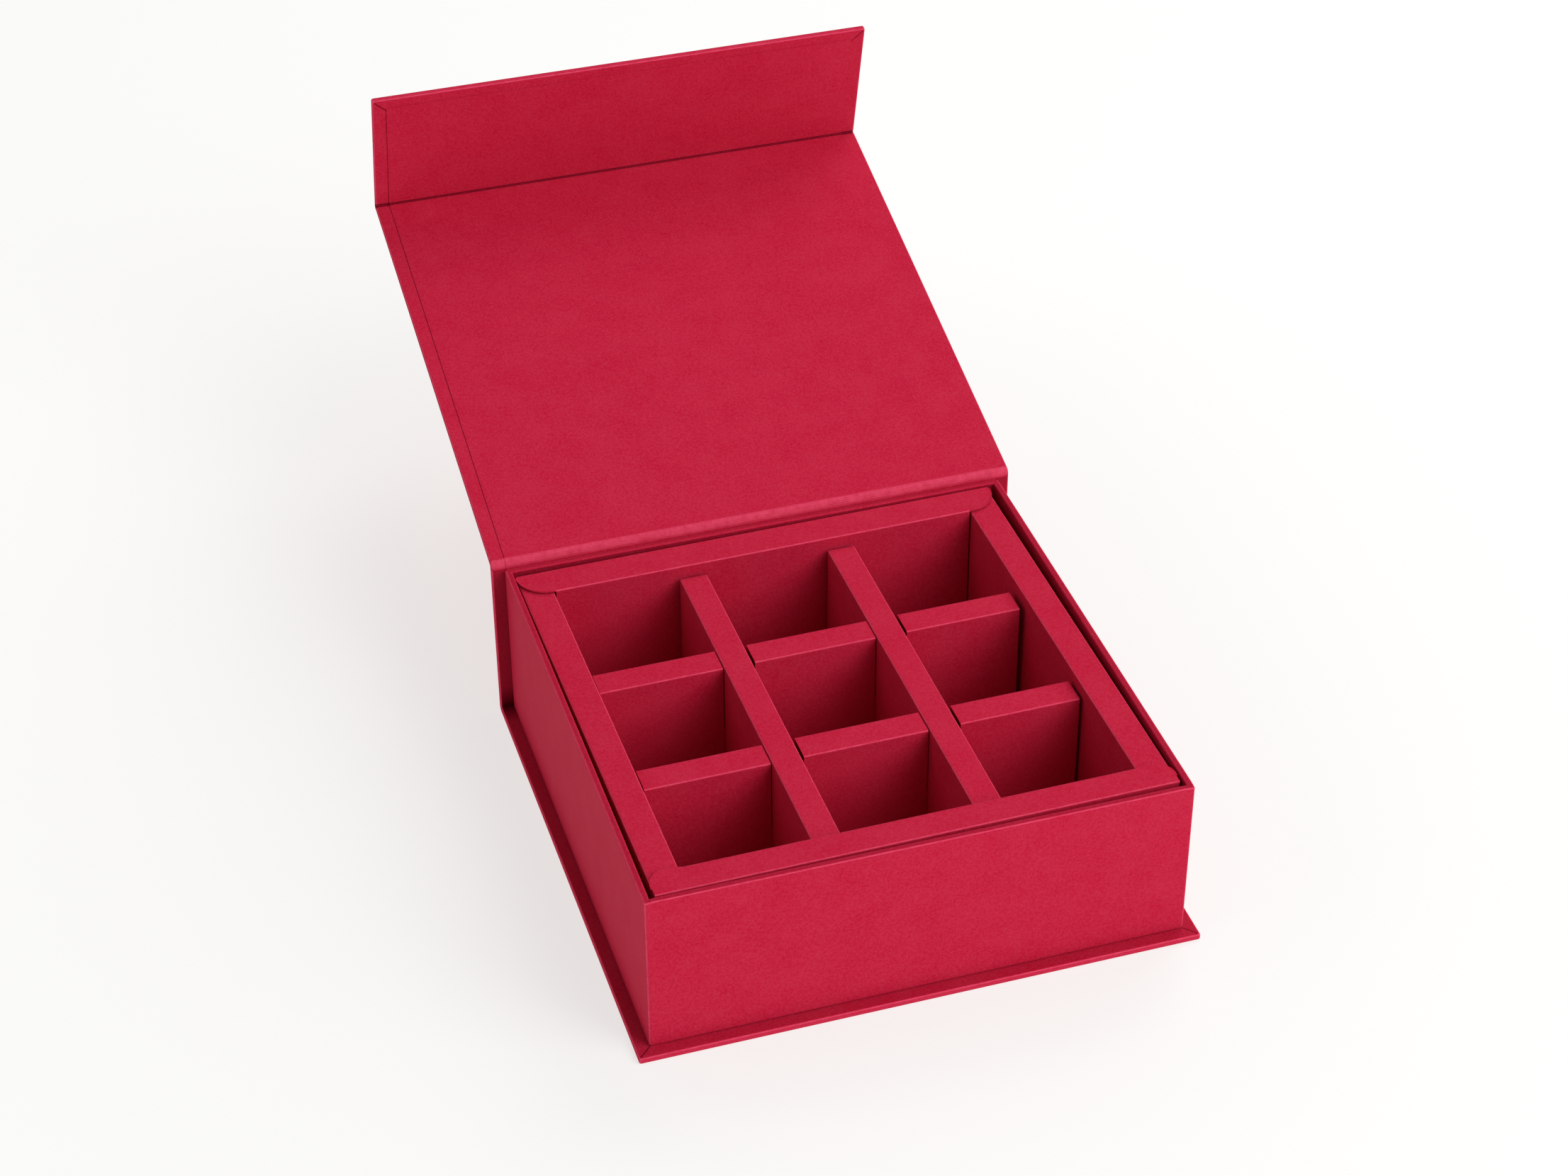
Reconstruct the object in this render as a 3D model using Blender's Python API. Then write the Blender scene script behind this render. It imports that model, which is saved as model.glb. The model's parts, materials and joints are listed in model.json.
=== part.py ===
"""Book-style compartment gift box: a papered case round a papered tray, with a nine-cell card insert.

Metres, +Z up. The origin is on the underside of the base, under the middle of the tray, and the front of
the box faces -Y. The case is a chain of four boards under one sheet of paper: base, spine, lid and flap.
Each board of the chain has its own frame, with x across the box, y along the chain from the front of the
base to the free edge of the flap, and z towards the inner side. The lid's and the flap's frames are
empties on the hinge axes. The lid is modelled open, leaning back, with the flap square to it.

Every paper or card piece is a folded sheet: flat facets that share their fold lines, given a thickness.
"""
import math

import bmesh
import bpy
import numpy as np
from mathutils import Vector

MM = 0.001

# Sheet goods
BOARD = 1.4 * MM            # greyboard of the case and the tray
PAPER = 0.15 * MM           # covering and lining paper
GLUE = 0.15 * MM            # glue line between a board and its paper, and between case and tray
CARD = 0.45 * MM            # folded card of the insert
REST_GAP = 0.3 * MM         # between pieces that rest on or stand against one another
EDGE_RADIUS = 0.45 * MM     # outside, where paper is folded round a board's edge
CARD_FOLD_RADIUS = 0.55 * MM  # outside, of a fold in the card
EDGE_STEPS = 3              # facets round either of them

# Tray, measured over its paper
TRAY_WIDTH = 160.0 * MM
TRAY_DEPTH = 159.0 * MM
TRAY_HEIGHT = 53.0 * MM
TRAY_TURN_UNDER = 12.0 * MM  # paper turned under the floor

# Case
LEDGE = 4.0 * MM            # how far the case stands out past the tray, left, right and front
TURN_IN = 12.0 * MM         # paper turned in round the edge of a board
MITRE_OPENING = 0.3 * MM    # opening of a mitre at its inner end
LINER_SIDE_MARGIN = 4.6 * MM
LINER_FLAP_MARGIN = 3.6 * MM
FLAP_HEIGHT = 47.0 * MM     # from the flap's hinge axis to its free edge
HINGE_SLACK = 0.9 * MM      # by how much the bare paper between two boards is wider than they are thick
LID_CREASE_RADIUS = 2.2 * MM
FLAP_FOLD_RADIUS = 1.2 * MM
REAR_FOLD_RADIUS = 2.0 * MM  # the paper's turn from the base up the spine
LID_LEAN = 14.0             # degrees that the open lid rises above level, away from the tray
FLAP_FOLD = 90.0            # degrees that the flap is folded up from the lid
SPINE_RISE = 90.0           # degrees that the spine stands up from the base
HINGE_STEPS = 5             # facets round a hinge

# Magnets in the flap and keepers in the tray's front wall
MAGNET_DIAMETER = 10.0 * MM
MAGNET_THICKNESS = 1.0 * MM
MAGNET_CLEARANCE = 0.3 * MM  # round a magnet in its pocket
MAGNET_SPACING = 96.0 * MM  # between the two magnets' centres
MAGNET_DROP = 26.0 * MM     # from the flap's hinge axis to the magnets' centres
MAGNET_SIDES = 32

# Insert
INSERT_LEFT_PLAY = 1.2 * MM
INSERT_RIGHT_PLAY = 1.6 * MM
INSERT_FRONT_PLAY = 1.65 * MM
INSERT_REAR_PLAY = 1.15 * MM
INSERT_TURN = 0.55          # degrees that the loose insert has turned in its play
RAIL_BELOW_RIM = 0.5 * MM
FRONT_RAIL_WIDTH = 9.2 * MM
REAR_RAIL_WIDTH = 10.9 * MM
SIDE_RAIL_WIDTH = 9.4 * MM
CORNER_SLIT = 1.0 * MM      # between an end of a front or rear inner wall and the side rail
FRONT_TAB_ROUND_SHARES = (0.48, 0.65)  # of the side rail's width, and of the front rail's
REAR_TAB_ROUND_SHARES = (0.9, 0.94)    # of the side rail's width, and of the rear rail's
TAB_ROUND_STEPS = 8

# Dividers
LONG_DIVIDER_WIDTH = 8.65 * MM
CROSS_DIVIDER_WIDTH = 9.1 * MM
FRONT_ROW_EXTRA = 0.9 * MM  # by how much the front row of cells is deeper than an even one
LONG_BELOW_RAIL = 3.8 * MM
CROSS_BELOW_LONG = 0.5 * MM
LONG_FRONT_PLAY = 0.6 * MM
LONG_REAR_PLAY = 1.3 * MM
CROSS_PLAYS = ((1.3 * MM, 1.1 * MM), (1.1 * MM, 1.9 * MM))  # left and right ends, from the front
NOTCH_LEFT_PLAY = 0.3 * MM  # a cross divider's notch past the long divider, on its left
NOTCH_RIGHT_PLAY = 1.0 * MM
NOTCH_UNDER_PLAY = 0.3 * MM  # a long divider's notch past the cross divider, each side
LAP_HEIGHT_SHARE = 0.5      # of the long dividers' height
CELLS_ACROSS = 3
CELLS_DEEP = 3

# Tolerances of a folded sheet
SAME_CORNER_SHARE = 0.01    # of the paper's thickness, within which two facets share a corner
SAME_PLANE_SHARE = 1e-6     # by how little the cosine between two facets in one plane may differ from 1

# Stack of sheets through each panel
SKIN = PAPER + GLUE
COVERED = BOARD + 2 * SKIN  # papered on both sides
LINED = COVERED + SKIN      # papered, with the liner over the turn-ins
HINGE_GAP = LINED + HINGE_SLACK

# Places in the box, from the table up and from the middle out
TRAY_X = TRAY_WIDTH / 2
TRAY_Y = TRAY_DEPTH / 2
CASE_X = TRAY_X + LEDGE
TRAY_BOTTOM = COVERED + GLUE
RIM = TRAY_BOTTOM + TRAY_HEIGHT
TRAY_INNER_X = TRAY_X - COVERED
TRAY_INNER_Y = TRAY_Y - COVERED
SPINE_INNER_Y = TRAY_Y + GLUE
SPINE_OUTER_Y = SPINE_INNER_Y + LINED
LID_AXIS_Y = SPINE_INNER_Y + LINED / 2
LID_AXIS_Z = RIM + REST_GAP + LINED / 2
LID_LENGTH = LID_AXIS_Y + TRAY_Y + REST_GAP + LINED / 2  # from hinge axis to hinge axis
TRAY_FLOOR_Z = TRAY_BOTTOM + SKIN + BOARD + SKIN
INSERT_Z = TRAY_FLOOR_Z + REST_GAP

# The insert in its own frame: its middle in x and y, and its underside in z
INSERT_X = (INSERT_LEFT_PLAY - INSERT_RIGHT_PLAY) / 2
INSERT_Y = (INSERT_FRONT_PLAY - INSERT_REAR_PLAY) / 2
RAIL_OUTER_X = TRAY_INNER_X - (INSERT_LEFT_PLAY + INSERT_RIGHT_PLAY) / 2
RAIL_OUTER_Y = TRAY_INNER_Y - (INSERT_FRONT_PLAY + INSERT_REAR_PLAY) / 2
RAIL_TOP = RIM - RAIL_BELOW_RIM - INSERT_Z
SIDE_RAIL_TOP = RAIL_TOP - CARD - REST_GAP
WELL_X = RAIL_OUTER_X - SIDE_RAIL_WIDTH
WELL_FRONT_Y = -RAIL_OUTER_Y + FRONT_RAIL_WIDTH
WELL_REAR_Y = RAIL_OUTER_Y - REAR_RAIL_WIDTH
DIVIDER_BOTTOM = CARD + REST_GAP
LONG_TOP = RAIL_TOP - LONG_BELOW_RAIL
CROSS_TOP = LONG_TOP - CROSS_BELOW_LONG
LAP_Z = DIVIDER_BOTTOM + LAP_HEIGHT_SHARE * (LONG_TOP - DIVIDER_BOTTOM)

UP = Vector((0, 0, 1))
DOWN = -UP
RIGHT = Vector((1, 0, 0))
LEFT = -RIGHT
BACK = Vector((0, 1, 0))
FRONT = -BACK


def clear_scene():
    for old in list(bpy.data.objects):
        bpy.data.objects.remove(old, do_unlink=True)


def make_material(name, colour, roughness, metallic=0.0):
    material = bpy.data.materials.new(name)
    material.use_nodes = True
    shader = material.node_tree.nodes["Principled BSDF"]
    shader.inputs["Base Color"].default_value = (*colour, 1.0)
    shader.inputs["Roughness"].default_value = roughness
    shader.inputs["Metallic"].default_value = metallic
    return material


clear_scene()
CRIMSON_PAPER = make_material("crimson_paper", (0.46, 0.012, 0.035), 0.72)
CRIMSON_CARD = make_material("crimson_card", (0.48, 0.014, 0.038), 0.7)
GREYBOARD = make_material("greyboard", (0.33, 0.31, 0.28), 0.9)
MAGNET_STEEL = make_material("magnet_steel", (0.55, 0.55, 0.57), 0.35, 1.0)


def add_object(name, mesh, material, parent=None):
    mesh.materials.append(material)
    piece = bpy.data.objects.new(name, mesh)
    bpy.context.collection.objects.link(piece)
    piece.parent = parent
    return piece


def add_frame(name, place, rise, parent=None):
    """An empty that carries the pieces of one panel; rise is degrees about the box's width."""
    frame = bpy.data.objects.new(name, None)
    bpy.context.collection.objects.link(frame)
    frame.location = place
    frame.rotation_euler = (math.radians(rise), 0, 0)
    frame.parent = parent
    return frame


def facing(points, outward):
    """The points of one facet, in the order that makes its normal agree with outward."""
    points = [Vector(point) for point in points]
    normal = Vector((0, 0, 0))
    for here, following in zip(points, points[1:] + points[:1]):
        normal += here.cross(following)
    return points if normal.dot(outward) > 0 else points[::-1]


def folded_sheet(name, facets, thickness, material, parent=None):
    """A sheet of paper or card. facets are its outer faces, as (points, outward) pairs that share fold
    lines; the inner faces lie at the sheet's thickness behind them, exactly, also round the folds."""
    corners, number_of, loops = [], {}, []
    for points, outward in facets:
        loop = []
        for point in facing(points, outward):
            key = tuple(round(value / (SAME_CORNER_SHARE * PAPER)) for value in point)
            if key not in number_of:
                number_of[key] = len(corners)
                corners.append(np.array(point))
            loop.append(number_of[key])
        loops.append(loop)
    planes = [[] for _ in corners]
    for loop in loops:
        ring = [corners[i] for i in loop]
        normal = sum(np.cross(a, b) for a, b in zip(ring, ring[1:] + ring[:1]))
        normal = normal / np.linalg.norm(normal)
        for i in loop:
            if all(normal @ other < 1 - SAME_PLANE_SHARE for other in planes[i]):
                planes[i].append(normal)
    inner = []
    for corner, normals in zip(corners, planes):
        step = np.linalg.lstsq(np.array(normals), np.full(len(normals), -thickness), rcond=None)[0]
        inner.append(corner + step)
    count = len(corners)
    faces = loops + [[i + count for i in loop[::-1]] for loop in loops]
    directed = {(a, b) for loop in loops for a, b in zip(loop, loop[1:] + loop[:1])}
    faces += [[b, a, a + count, b + count] for a, b in sorted(directed) if (b, a) not in directed]
    mesh = bpy.data.meshes.new(name)
    mesh.from_pydata([tuple(point) for point in corners + inner], [], faces)
    mesh.validate()
    return add_object(name, mesh, material, parent)


def flat_board(name, low, high, material, parent=None):
    """A square-cut board or sheet between two corners."""
    mesh = bpy.data.meshes.new(name)
    bm = bmesh.new()
    bmesh.ops.create_cube(bm, size=1)
    middle = (Vector(low) + Vector(high)) / 2
    size = Vector(high) - Vector(low)
    for vert in bm.verts:
        vert.co = middle + Vector((vert.co.x * size.x, vert.co.y * size.y, vert.co.z * size.z))
    bm.to_mesh(mesh)
    bm.free()
    return add_object(name, mesh, material, parent)


def disc(name, centre, axis, diameter, thickness, material, parent=None):
    """A round disc whose flat faces are square to the axis."""
    mesh = bpy.data.meshes.new(name)
    bm = bmesh.new()
    bmesh.ops.create_cone(bm, cap_ends=True, segments=MAGNET_SIDES, radius1=diameter / 2,
                          radius2=diameter / 2, depth=thickness)
    turn = UP.rotation_difference(axis).to_matrix().to_4x4()
    bmesh.ops.transform(bm, matrix=turn, verts=bm.verts)
    bmesh.ops.translate(bm, vec=Vector(centre), verts=bm.verts)
    bm.to_mesh(mesh)
    bm.free()
    return add_object(name, mesh, material, parent)


def pocketed(board, name, centres, axis, parent):
    """Punches a round pocket right through a board at each centre."""
    for side, centre in zip(("left", "right"), centres):
        cutter = disc(f"{name}_pocket_{side}", centre, axis, MAGNET_DIAMETER + 2 * MAGNET_CLEARANCE,
                      2 * COVERED, GREYBOARD, parent)
        cutter.hide_render = True
        cutter.display_type = "WIRE"
        punch = board.modifiers.new(f"pocket_{side}", "BOOLEAN")
        punch.operation = "DIFFERENCE"
        punch.object = cutter


def rounded_corner(corner, before, after, radius, steps):
    """Points of an arc that rounds a corner, from one leg on to the next."""
    before, after = before.normalized(), after.normalized()
    bend = before.angle(after)
    reach = radius * math.tan(bend / 2)
    start = corner - before * reach
    inward = (after - before * before.dot(after)).normalized()
    centre = start + inward * radius
    points = []
    for step in range(steps + 1):
        angle = bend * step / steps
        points.append(centre - inward * radius * math.cos(angle) + before * radius * math.sin(angle))
    return points


def rounded_path(path, radius):
    """A path of straight legs, as points, with its corners rounded."""
    points = [path[0]]
    for before, corner, after in zip(path, path[1:], path[2:]):
        points += rounded_corner(corner, corner - before, after - corner, radius, EDGE_STEPS)
    return points + [path[-1]]


def edge_profile(insets_and_heights):
    """Rounds the path of paper over an edge, given and returned as insets from the edge and heights."""
    path = [Vector((inset, 0, z)) for inset, z in insets_and_heights]
    return [(point.x, point.z) for point in rounded_path(path, EDGE_RADIUS)]


def mitred(inset, turn_in):
    """Where a turned-in strip ends at a corner: on the mitre, which opens towards its inner end."""
    return inset + MITRE_OPENING / 2 * max(inset - EDGE_RADIUS, 0) / (turn_in - EDGE_RADIUS)


def edge_facets(profile, outward, ends_of):
    """The paper over one edge. ends_of gives the two ends of the line at one inset and height."""
    facets = []
    for here, following in zip(profile, profile[1:]):
        facing_out = outward * (following[1] - here[1]) + UP * (following[0] - here[0])
        near, far = ends_of(*here)
        next_near, next_far = ends_of(*following)
        facets.append(([near, far, next_far, next_near], facing_out))
    return facets


def panel_wrap(start, end, outer_z, inner_z, start_turned=False, end_turned=False):
    """Facets of the case paper on one panel: its outer side, and the edges that are turned in."""
    profile = edge_profile([(TURN_IN, outer_z), (0, outer_z), (0, inner_z), (TURN_IN, inner_z)])[1:]
    facets = []

    def side_ends(side):
        def ends_of(inset, z):
            x = side * (CASE_X - inset)
            near = start + (mitred(inset, TURN_IN) if start_turned else 0)
            far = end - (mitred(inset, TURN_IN) if end_turned else 0)
            return (x, near, z), (x, far, z)
        return ends_of

    def free_ends(y, direction):
        def ends_of(inset, z):
            x = CASE_X - mitred(inset, TURN_IN)
            return (-x, y - direction * inset, z), (x, y - direction * inset, z)
        return ends_of

    for side in (-1, 1):
        facets += edge_facets(profile, RIGHT * side, side_ends(side))
    for direction, y, turned in ((-1, start, start_turned), (1, end, end_turned)):
        if turned:
            facets += edge_facets(profile, BACK * direction, free_ends(y, direction))
    left, right = side_ends(-1)(*profile[0]), side_ends(1)(*profile[0])
    facets.append((list(left + right[::-1]), DOWN))
    return facets


def panel_board(name, start, end, outer_z, parent, start_turned=False, end_turned=False):
    """The greyboard inside one panel, clear of the paper that is turned round its edges."""
    low = (-CASE_X + SKIN, start + (SKIN if start_turned else 0), outer_z + SKIN)
    high = (CASE_X - SKIN, end - (SKIN if end_turned else 0), outer_z + SKIN + BOARD)
    return flat_board(name, low, high, GREYBOARD, parent)


def panel_liner(name, start, end, inner_z, parent):
    """The liner on the inner side of one panel."""
    x = CASE_X - LINER_SIDE_MARGIN
    return flat_board(name, (-x, start, inner_z - PAPER), (x, end, inner_z), CRIMSON_PAPER, parent)


def strip_facets(path, reach, outward_of):
    """A strip of paper that reaches so far either side of the middle, along a path in the plane of x = 0."""
    facets = []
    for here, following in zip(path, path[1:]):
        quad = [here + LEFT * reach, here + RIGHT * reach,
                following + RIGHT * reach, following + LEFT * reach]
        facets.append((quad, outward_of(here, following)))
    return facets


def build_base():
    frame = add_frame("base_frame", (0, 0, 0), 0)
    front = -TRAY_Y - LEDGE
    rear = SPINE_OUTER_Y - REAR_FOLD_RADIUS
    corner = Vector((0, SPINE_OUTER_Y, 0))
    fold = rounded_corner(corner, BACK, UP, REAR_FOLD_RADIUS, HINGE_STEPS)
    facets = panel_wrap(front, rear, 0, COVERED, start_turned=True)
    flat_reach = CASE_X - EDGE_RADIUS
    facets += strip_facets(fold, flat_reach, lambda here, following: RIGHT.cross(here - following))
    folded_sheet("base_wrap", facets, PAPER, CRIMSON_PAPER, frame)
    panel_board("base_board", front, rear, 0, frame, start_turned=True)


def build_spine():
    """The spine stands behind the tray; its frame's y runs up the spine and its z towards the tray."""
    frame = add_frame("spine_frame", (0, LID_AXIS_Y, 0), SPINE_RISE)
    foot = REAR_FOLD_RADIUS + GLUE
    head = LID_AXIS_Z - HINGE_GAP / 2
    wrap = panel_wrap(foot, head, -LINED / 2, LINED / 2 - SKIN)
    folded_sheet("spine_wrap", wrap, PAPER, CRIMSON_PAPER, frame)
    panel_board("spine_board", foot, head, -LINED / 2, frame)
    panel_liner("spine_liner", foot, head, LINED / 2, frame)


def build_lid():
    frame = add_frame("lid_hinge", (0, LID_AXIS_Y, LID_AXIS_Z), LID_LEAN)
    start, end = HINGE_GAP / 2, LID_LENGTH - HINGE_GAP / 2
    wrap = panel_wrap(start, end, -LINED / 2, LINED / 2 - SKIN)
    folded_sheet("lid_wrap", wrap, PAPER, CRIMSON_PAPER, frame)
    panel_board("lid_board", start, end, -LINED / 2, frame)
    panel_liner("lid_liner", start, end, LINED / 2, frame)
    return frame


def build_flap(lid_frame):
    frame = add_frame("flap_hinge", (0, LID_LENGTH, 0), FLAP_FOLD, lid_frame)
    start, end = HINGE_GAP / 2, FLAP_HEIGHT
    wrap = panel_wrap(start, end, -LINED / 2, LINED / 2 - SKIN, end_turned=True)
    folded_sheet("flap_wrap", wrap, PAPER, CRIMSON_PAPER, frame)
    board = panel_board("flap_board", start, end, -LINED / 2, frame, end_turned=True)
    panel_liner("flap_liner", start, end - LINER_FLAP_MARGIN, LINED / 2, frame)
    board_middle = -LINED / 2 + SKIN + BOARD / 2
    centres = [(side * MAGNET_SPACING / 2, MAGNET_DROP, board_middle) for side in (-1, 1)]
    pocketed(board, "flap", centres, UP, frame)
    for side, centre in zip(("left", "right"), centres):
        disc(f"flap_magnet_{side}", centre, UP, MAGNET_DIAMETER, MAGNET_THICKNESS, MAGNET_STEEL, frame)


def panel_directions(rise):
    """Along a panel, and towards its inner side, for a panel that rises by so many degrees."""
    angle = math.radians(rise)
    along = Vector((0, math.cos(angle), math.sin(angle)))
    return along, RIGHT.cross(along)


def hinge_path(axis, rise, next_rise, side, radius):
    """The path of the bare paper from one panel's face to the next's, on the inner side (1) or outer (-1).

    It keeps to both faces. Round the outside of the bend the corner between them is rounded, and inside
    the bend it is a tight crease."""
    along, inward = panel_directions(rise)
    next_along, next_inward = panel_directions(next_rise)
    offset = side * LINED / 2
    reach = HINGE_GAP / 2 - GLUE
    start = axis + inward * offset - along * reach
    end = axis + next_inward * offset + next_along * reach
    half_bend = math.radians(next_rise - rise) / 2
    corner = axis + inward * offset - along * (offset * math.tan(half_bend))
    if offset * half_bend < 0:
        return [start] + rounded_corner(corner, along, next_along, radius, HINGE_STEPS) + [end]
    return [start, corner, end]


def hinge_paper(name, axis, rise, next_rise, radius, parent=None):
    """The two bare layers of a paper hinge: the liner inside and the wrap outside."""
    for layer, side in (("liner", 1), ("wrap", -1)):
        path = hinge_path(axis, rise, next_rise, side, radius)
        facets = strip_facets(path, CASE_X, lambda here, following: RIGHT.cross(following - here) * side)
        folded_sheet(f"{name}_{layer}", facets, PAPER, CRIMSON_PAPER, parent)


def tray_wrap_facets():
    """Facets of the tray's paper: under the floor, up each wall, over the rim and down inside."""
    foot = TRAY_BOTTOM + SKIN + BOARD + GLUE
    profile = edge_profile([(TRAY_TURN_UNDER, TRAY_BOTTOM), (0, TRAY_BOTTOM), (0, RIM),
                            (COVERED, RIM), (COVERED, foot)])

    def end_inset(inset, z):
        return mitred(inset, TRAY_TURN_UNDER) if z < TRAY_BOTTOM + EDGE_RADIUS else inset

    def wall_ends(side):
        def ends_of(inset, z):
            x, y = side * (TRAY_X - inset), TRAY_Y - end_inset(inset, z)
            return (x, -y, z), (x, y, z)
        return ends_of

    def end_wall_ends(side):
        def ends_of(inset, z):
            x, y = TRAY_X - end_inset(inset, z), side * (TRAY_Y - inset)
            return (-x, y, z), (x, y, z)
        return ends_of

    facets = []
    for side in (-1, 1):
        facets += edge_facets(profile, RIGHT * side, wall_ends(side))
        facets += edge_facets(profile, BACK * side, end_wall_ends(side))
    return facets


def build_tray():
    folded_sheet("tray_wrap", tray_wrap_facets(), PAPER, CRIMSON_PAPER)
    low, high = TRAY_BOTTOM + SKIN, RIM - SKIN
    outer_x, outer_y = TRAY_X - SKIN, TRAY_Y - SKIN
    inner_x, inner_y = outer_x - BOARD, outer_y - BOARD
    between_x, between_y = inner_x - GLUE, inner_y - GLUE
    spans = {
        "front": ((-outer_x, -outer_y, low), (outer_x, -inner_y, high)),
        "rear": ((-outer_x, inner_y, low), (outer_x, outer_y, high)),
        "left": ((-outer_x, -between_y, low), (-inner_x, between_y, high)),
        "right": ((inner_x, -between_y, low), (outer_x, between_y, high)),
        "floor": ((-between_x, -between_y, low), (between_x, between_y, low + BOARD)),
    }
    boards = {}
    for place, (near, far) in spans.items():
        boards[place] = flat_board(f"tray_{place}_board", near, far, GREYBOARD)
    lining_x, lining_y = TRAY_INNER_X - REST_GAP, TRAY_INNER_Y - REST_GAP
    flat_board("tray_floor_lining", (-lining_x, -lining_y, TRAY_FLOOR_Z - PAPER),
               (lining_x, lining_y, TRAY_FLOOR_Z), CRIMSON_PAPER)
    keeper_z = LID_AXIS_Z - MAGNET_DROP
    centres = [(side * MAGNET_SPACING / 2, -(outer_y + inner_y) / 2, keeper_z) for side in (-1, 1)]
    pocketed(boards["front"], "tray", centres, BACK, None)
    for side, centre in zip(("left", "right"), centres):
        disc(f"keeper_{side}", centre, BACK, MAGNET_DIAMETER, MAGNET_THICKNESS, MAGNET_STEEL)


def rail_profile(outer, inner, top):
    """The path across a rail: up its flange, over its top and down its inner wall, with rounded folds."""
    path = [Vector((outer, 0, 0)), Vector((outer, 0, top)), Vector((inner, 0, top)), Vector((inner, 0, 0))]
    return [(point.x, point.z) for point in rounded_path(path, CARD_FOLD_RADIUS)]


def tab_points(side_x, fold_y, inner_y, round_x, round_y):
    """A rail's tab over the side rail: its corner at the outer fold, then its rounded inner corner."""
    points = [(side_x * RAIL_OUTER_X, fold_y)]
    inward = math.copysign(1, inner_y - fold_y)
    for step in range(TAB_ROUND_STEPS + 1):
        angle = math.pi / 2 * step / TAB_ROUND_STEPS
        x = RAIL_OUTER_X - round_x * (1 - math.cos(angle))
        y = inner_y - inward * round_y * (1 - math.sin(angle))
        points.append((side_x * x, y))
    return points


def build_end_rail(name, side, width, tab_round_shares, frame):
    """The front (-1) or rear (1) rail: flange, top strip with its two tabs, and inner wall."""
    outer_y = side * RAIL_OUTER_Y
    inner_y = outer_y - side * width
    inner_x = WELL_X - CORNER_SLIT
    round_x = tab_round_shares[0] * SIDE_RAIL_WIDTH
    round_y = tab_round_shares[1] * width
    profile = rail_profile(outer_y, inner_y, RAIL_TOP)
    half = len(profile) // 2
    flange, wall = profile[:half], profile[half:]
    fold_y, inner_fold_y = flange[-1][0], wall[0][0]
    outline = tab_points(1, fold_y, inner_y, round_x, round_y)
    outline += [(inner_x, inner_y), (inner_x, inner_fold_y), (-inner_x, inner_fold_y), (-inner_x, inner_y)]
    outline += tab_points(-1, fold_y, inner_y, round_x, round_y)[::-1]
    facets = [([(x, y, RAIL_TOP) for x, y in outline], UP)]
    for part, reach in ((flange, RAIL_OUTER_X), (wall, inner_x)):
        for (y, z), (next_y, next_z) in zip(part, part[1:]):
            quad = [(-reach, y, z), (reach, y, z), (reach, next_y, next_z), (-reach, next_y, next_z)]
            outward = (BACK * (next_z - z) - UP * (next_y - y)) * side
            facets.append((quad, outward))
    folded_sheet(name, facets, CARD, CRIMSON_CARD, frame)


def build_side_rail(name, side, frame):
    """The left (-1) or right (1) rail, whose top passes under the tabs of the end rails."""
    outer_x = side * RAIL_OUTER_X
    inner_x = side * WELL_X
    end = RAIL_OUTER_Y - CARD - REST_GAP
    profile = rail_profile(outer_x, inner_x, SIDE_RAIL_TOP)
    facets = []
    for (x, z), (next_x, next_z) in zip(profile, profile[1:]):
        outward = (RIGHT * (next_z - z) - UP * (next_x - x)) * side
        facets.append(([(x, -end, z), (x, end, z), (next_x, end, next_z), (next_x, -end, next_z)], outward))
    folded_sheet(name, facets, CARD, CRIMSON_CARD, frame)


def channel_facets(start, end, notches, half_width, top, notched_above):
    """An inverted U channel along x, notched to half its height above or below, for half-laps."""
    stations = [start] + [edge for notch in notches for edge in notch] + [end]
    lap_z = LAP_Z - REST_GAP / 2 if notched_above else LAP_Z + REST_GAP / 2
    left_foot, left, right, right_foot = [
        Vector((0, side * half_width, z)) for side, z in ((-1, DIVIDER_BOTTOM), (-1, top), (1, top),
                                                          (1, DIVIDER_BOTTOM))]
    profile = rounded_path([left_foot, left, right, right_foot], CARD_FOLD_RADIUS)
    left_lap, right_lap = [Vector((0, side * half_width, lap_z)) for side in (-1, 1)]
    above = [left_lap] + profile[1:-1] + [right_lap]
    parts = [[left_foot, left_lap], above, [right_lap, right_foot]]
    facets = []
    for number, (low_x, high_x) in enumerate(zip(stations, stations[1:])):
        kept = parts
        if number % 2 == 1:
            kept = [parts[0], parts[2]] if notched_above else [above]
        for part in kept:
            for here, following in zip(part, part[1:]):
                quad = [here + RIGHT * low_x, here + RIGHT * high_x,
                        following + RIGHT * high_x, following + RIGHT * low_x]
                facets.append((quad, RIGHT.cross(following - here)))
    return facets


def divider_centres(low, high, cells, width):
    """Middles of the dividers that part a well into equal cells."""
    cell = (high - low - (cells - 1) * width) / cells
    return [low + number * (cell + width) - width / 2 for number in range(1, cells)]


def turned_quarter(facets):
    """The same facets, with what ran along x now running along y."""
    def turn(x, y, z):
        return -y, x, z
    return [([turn(*point) for point in points], Vector(turn(*outward))) for points, outward in facets]


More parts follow.
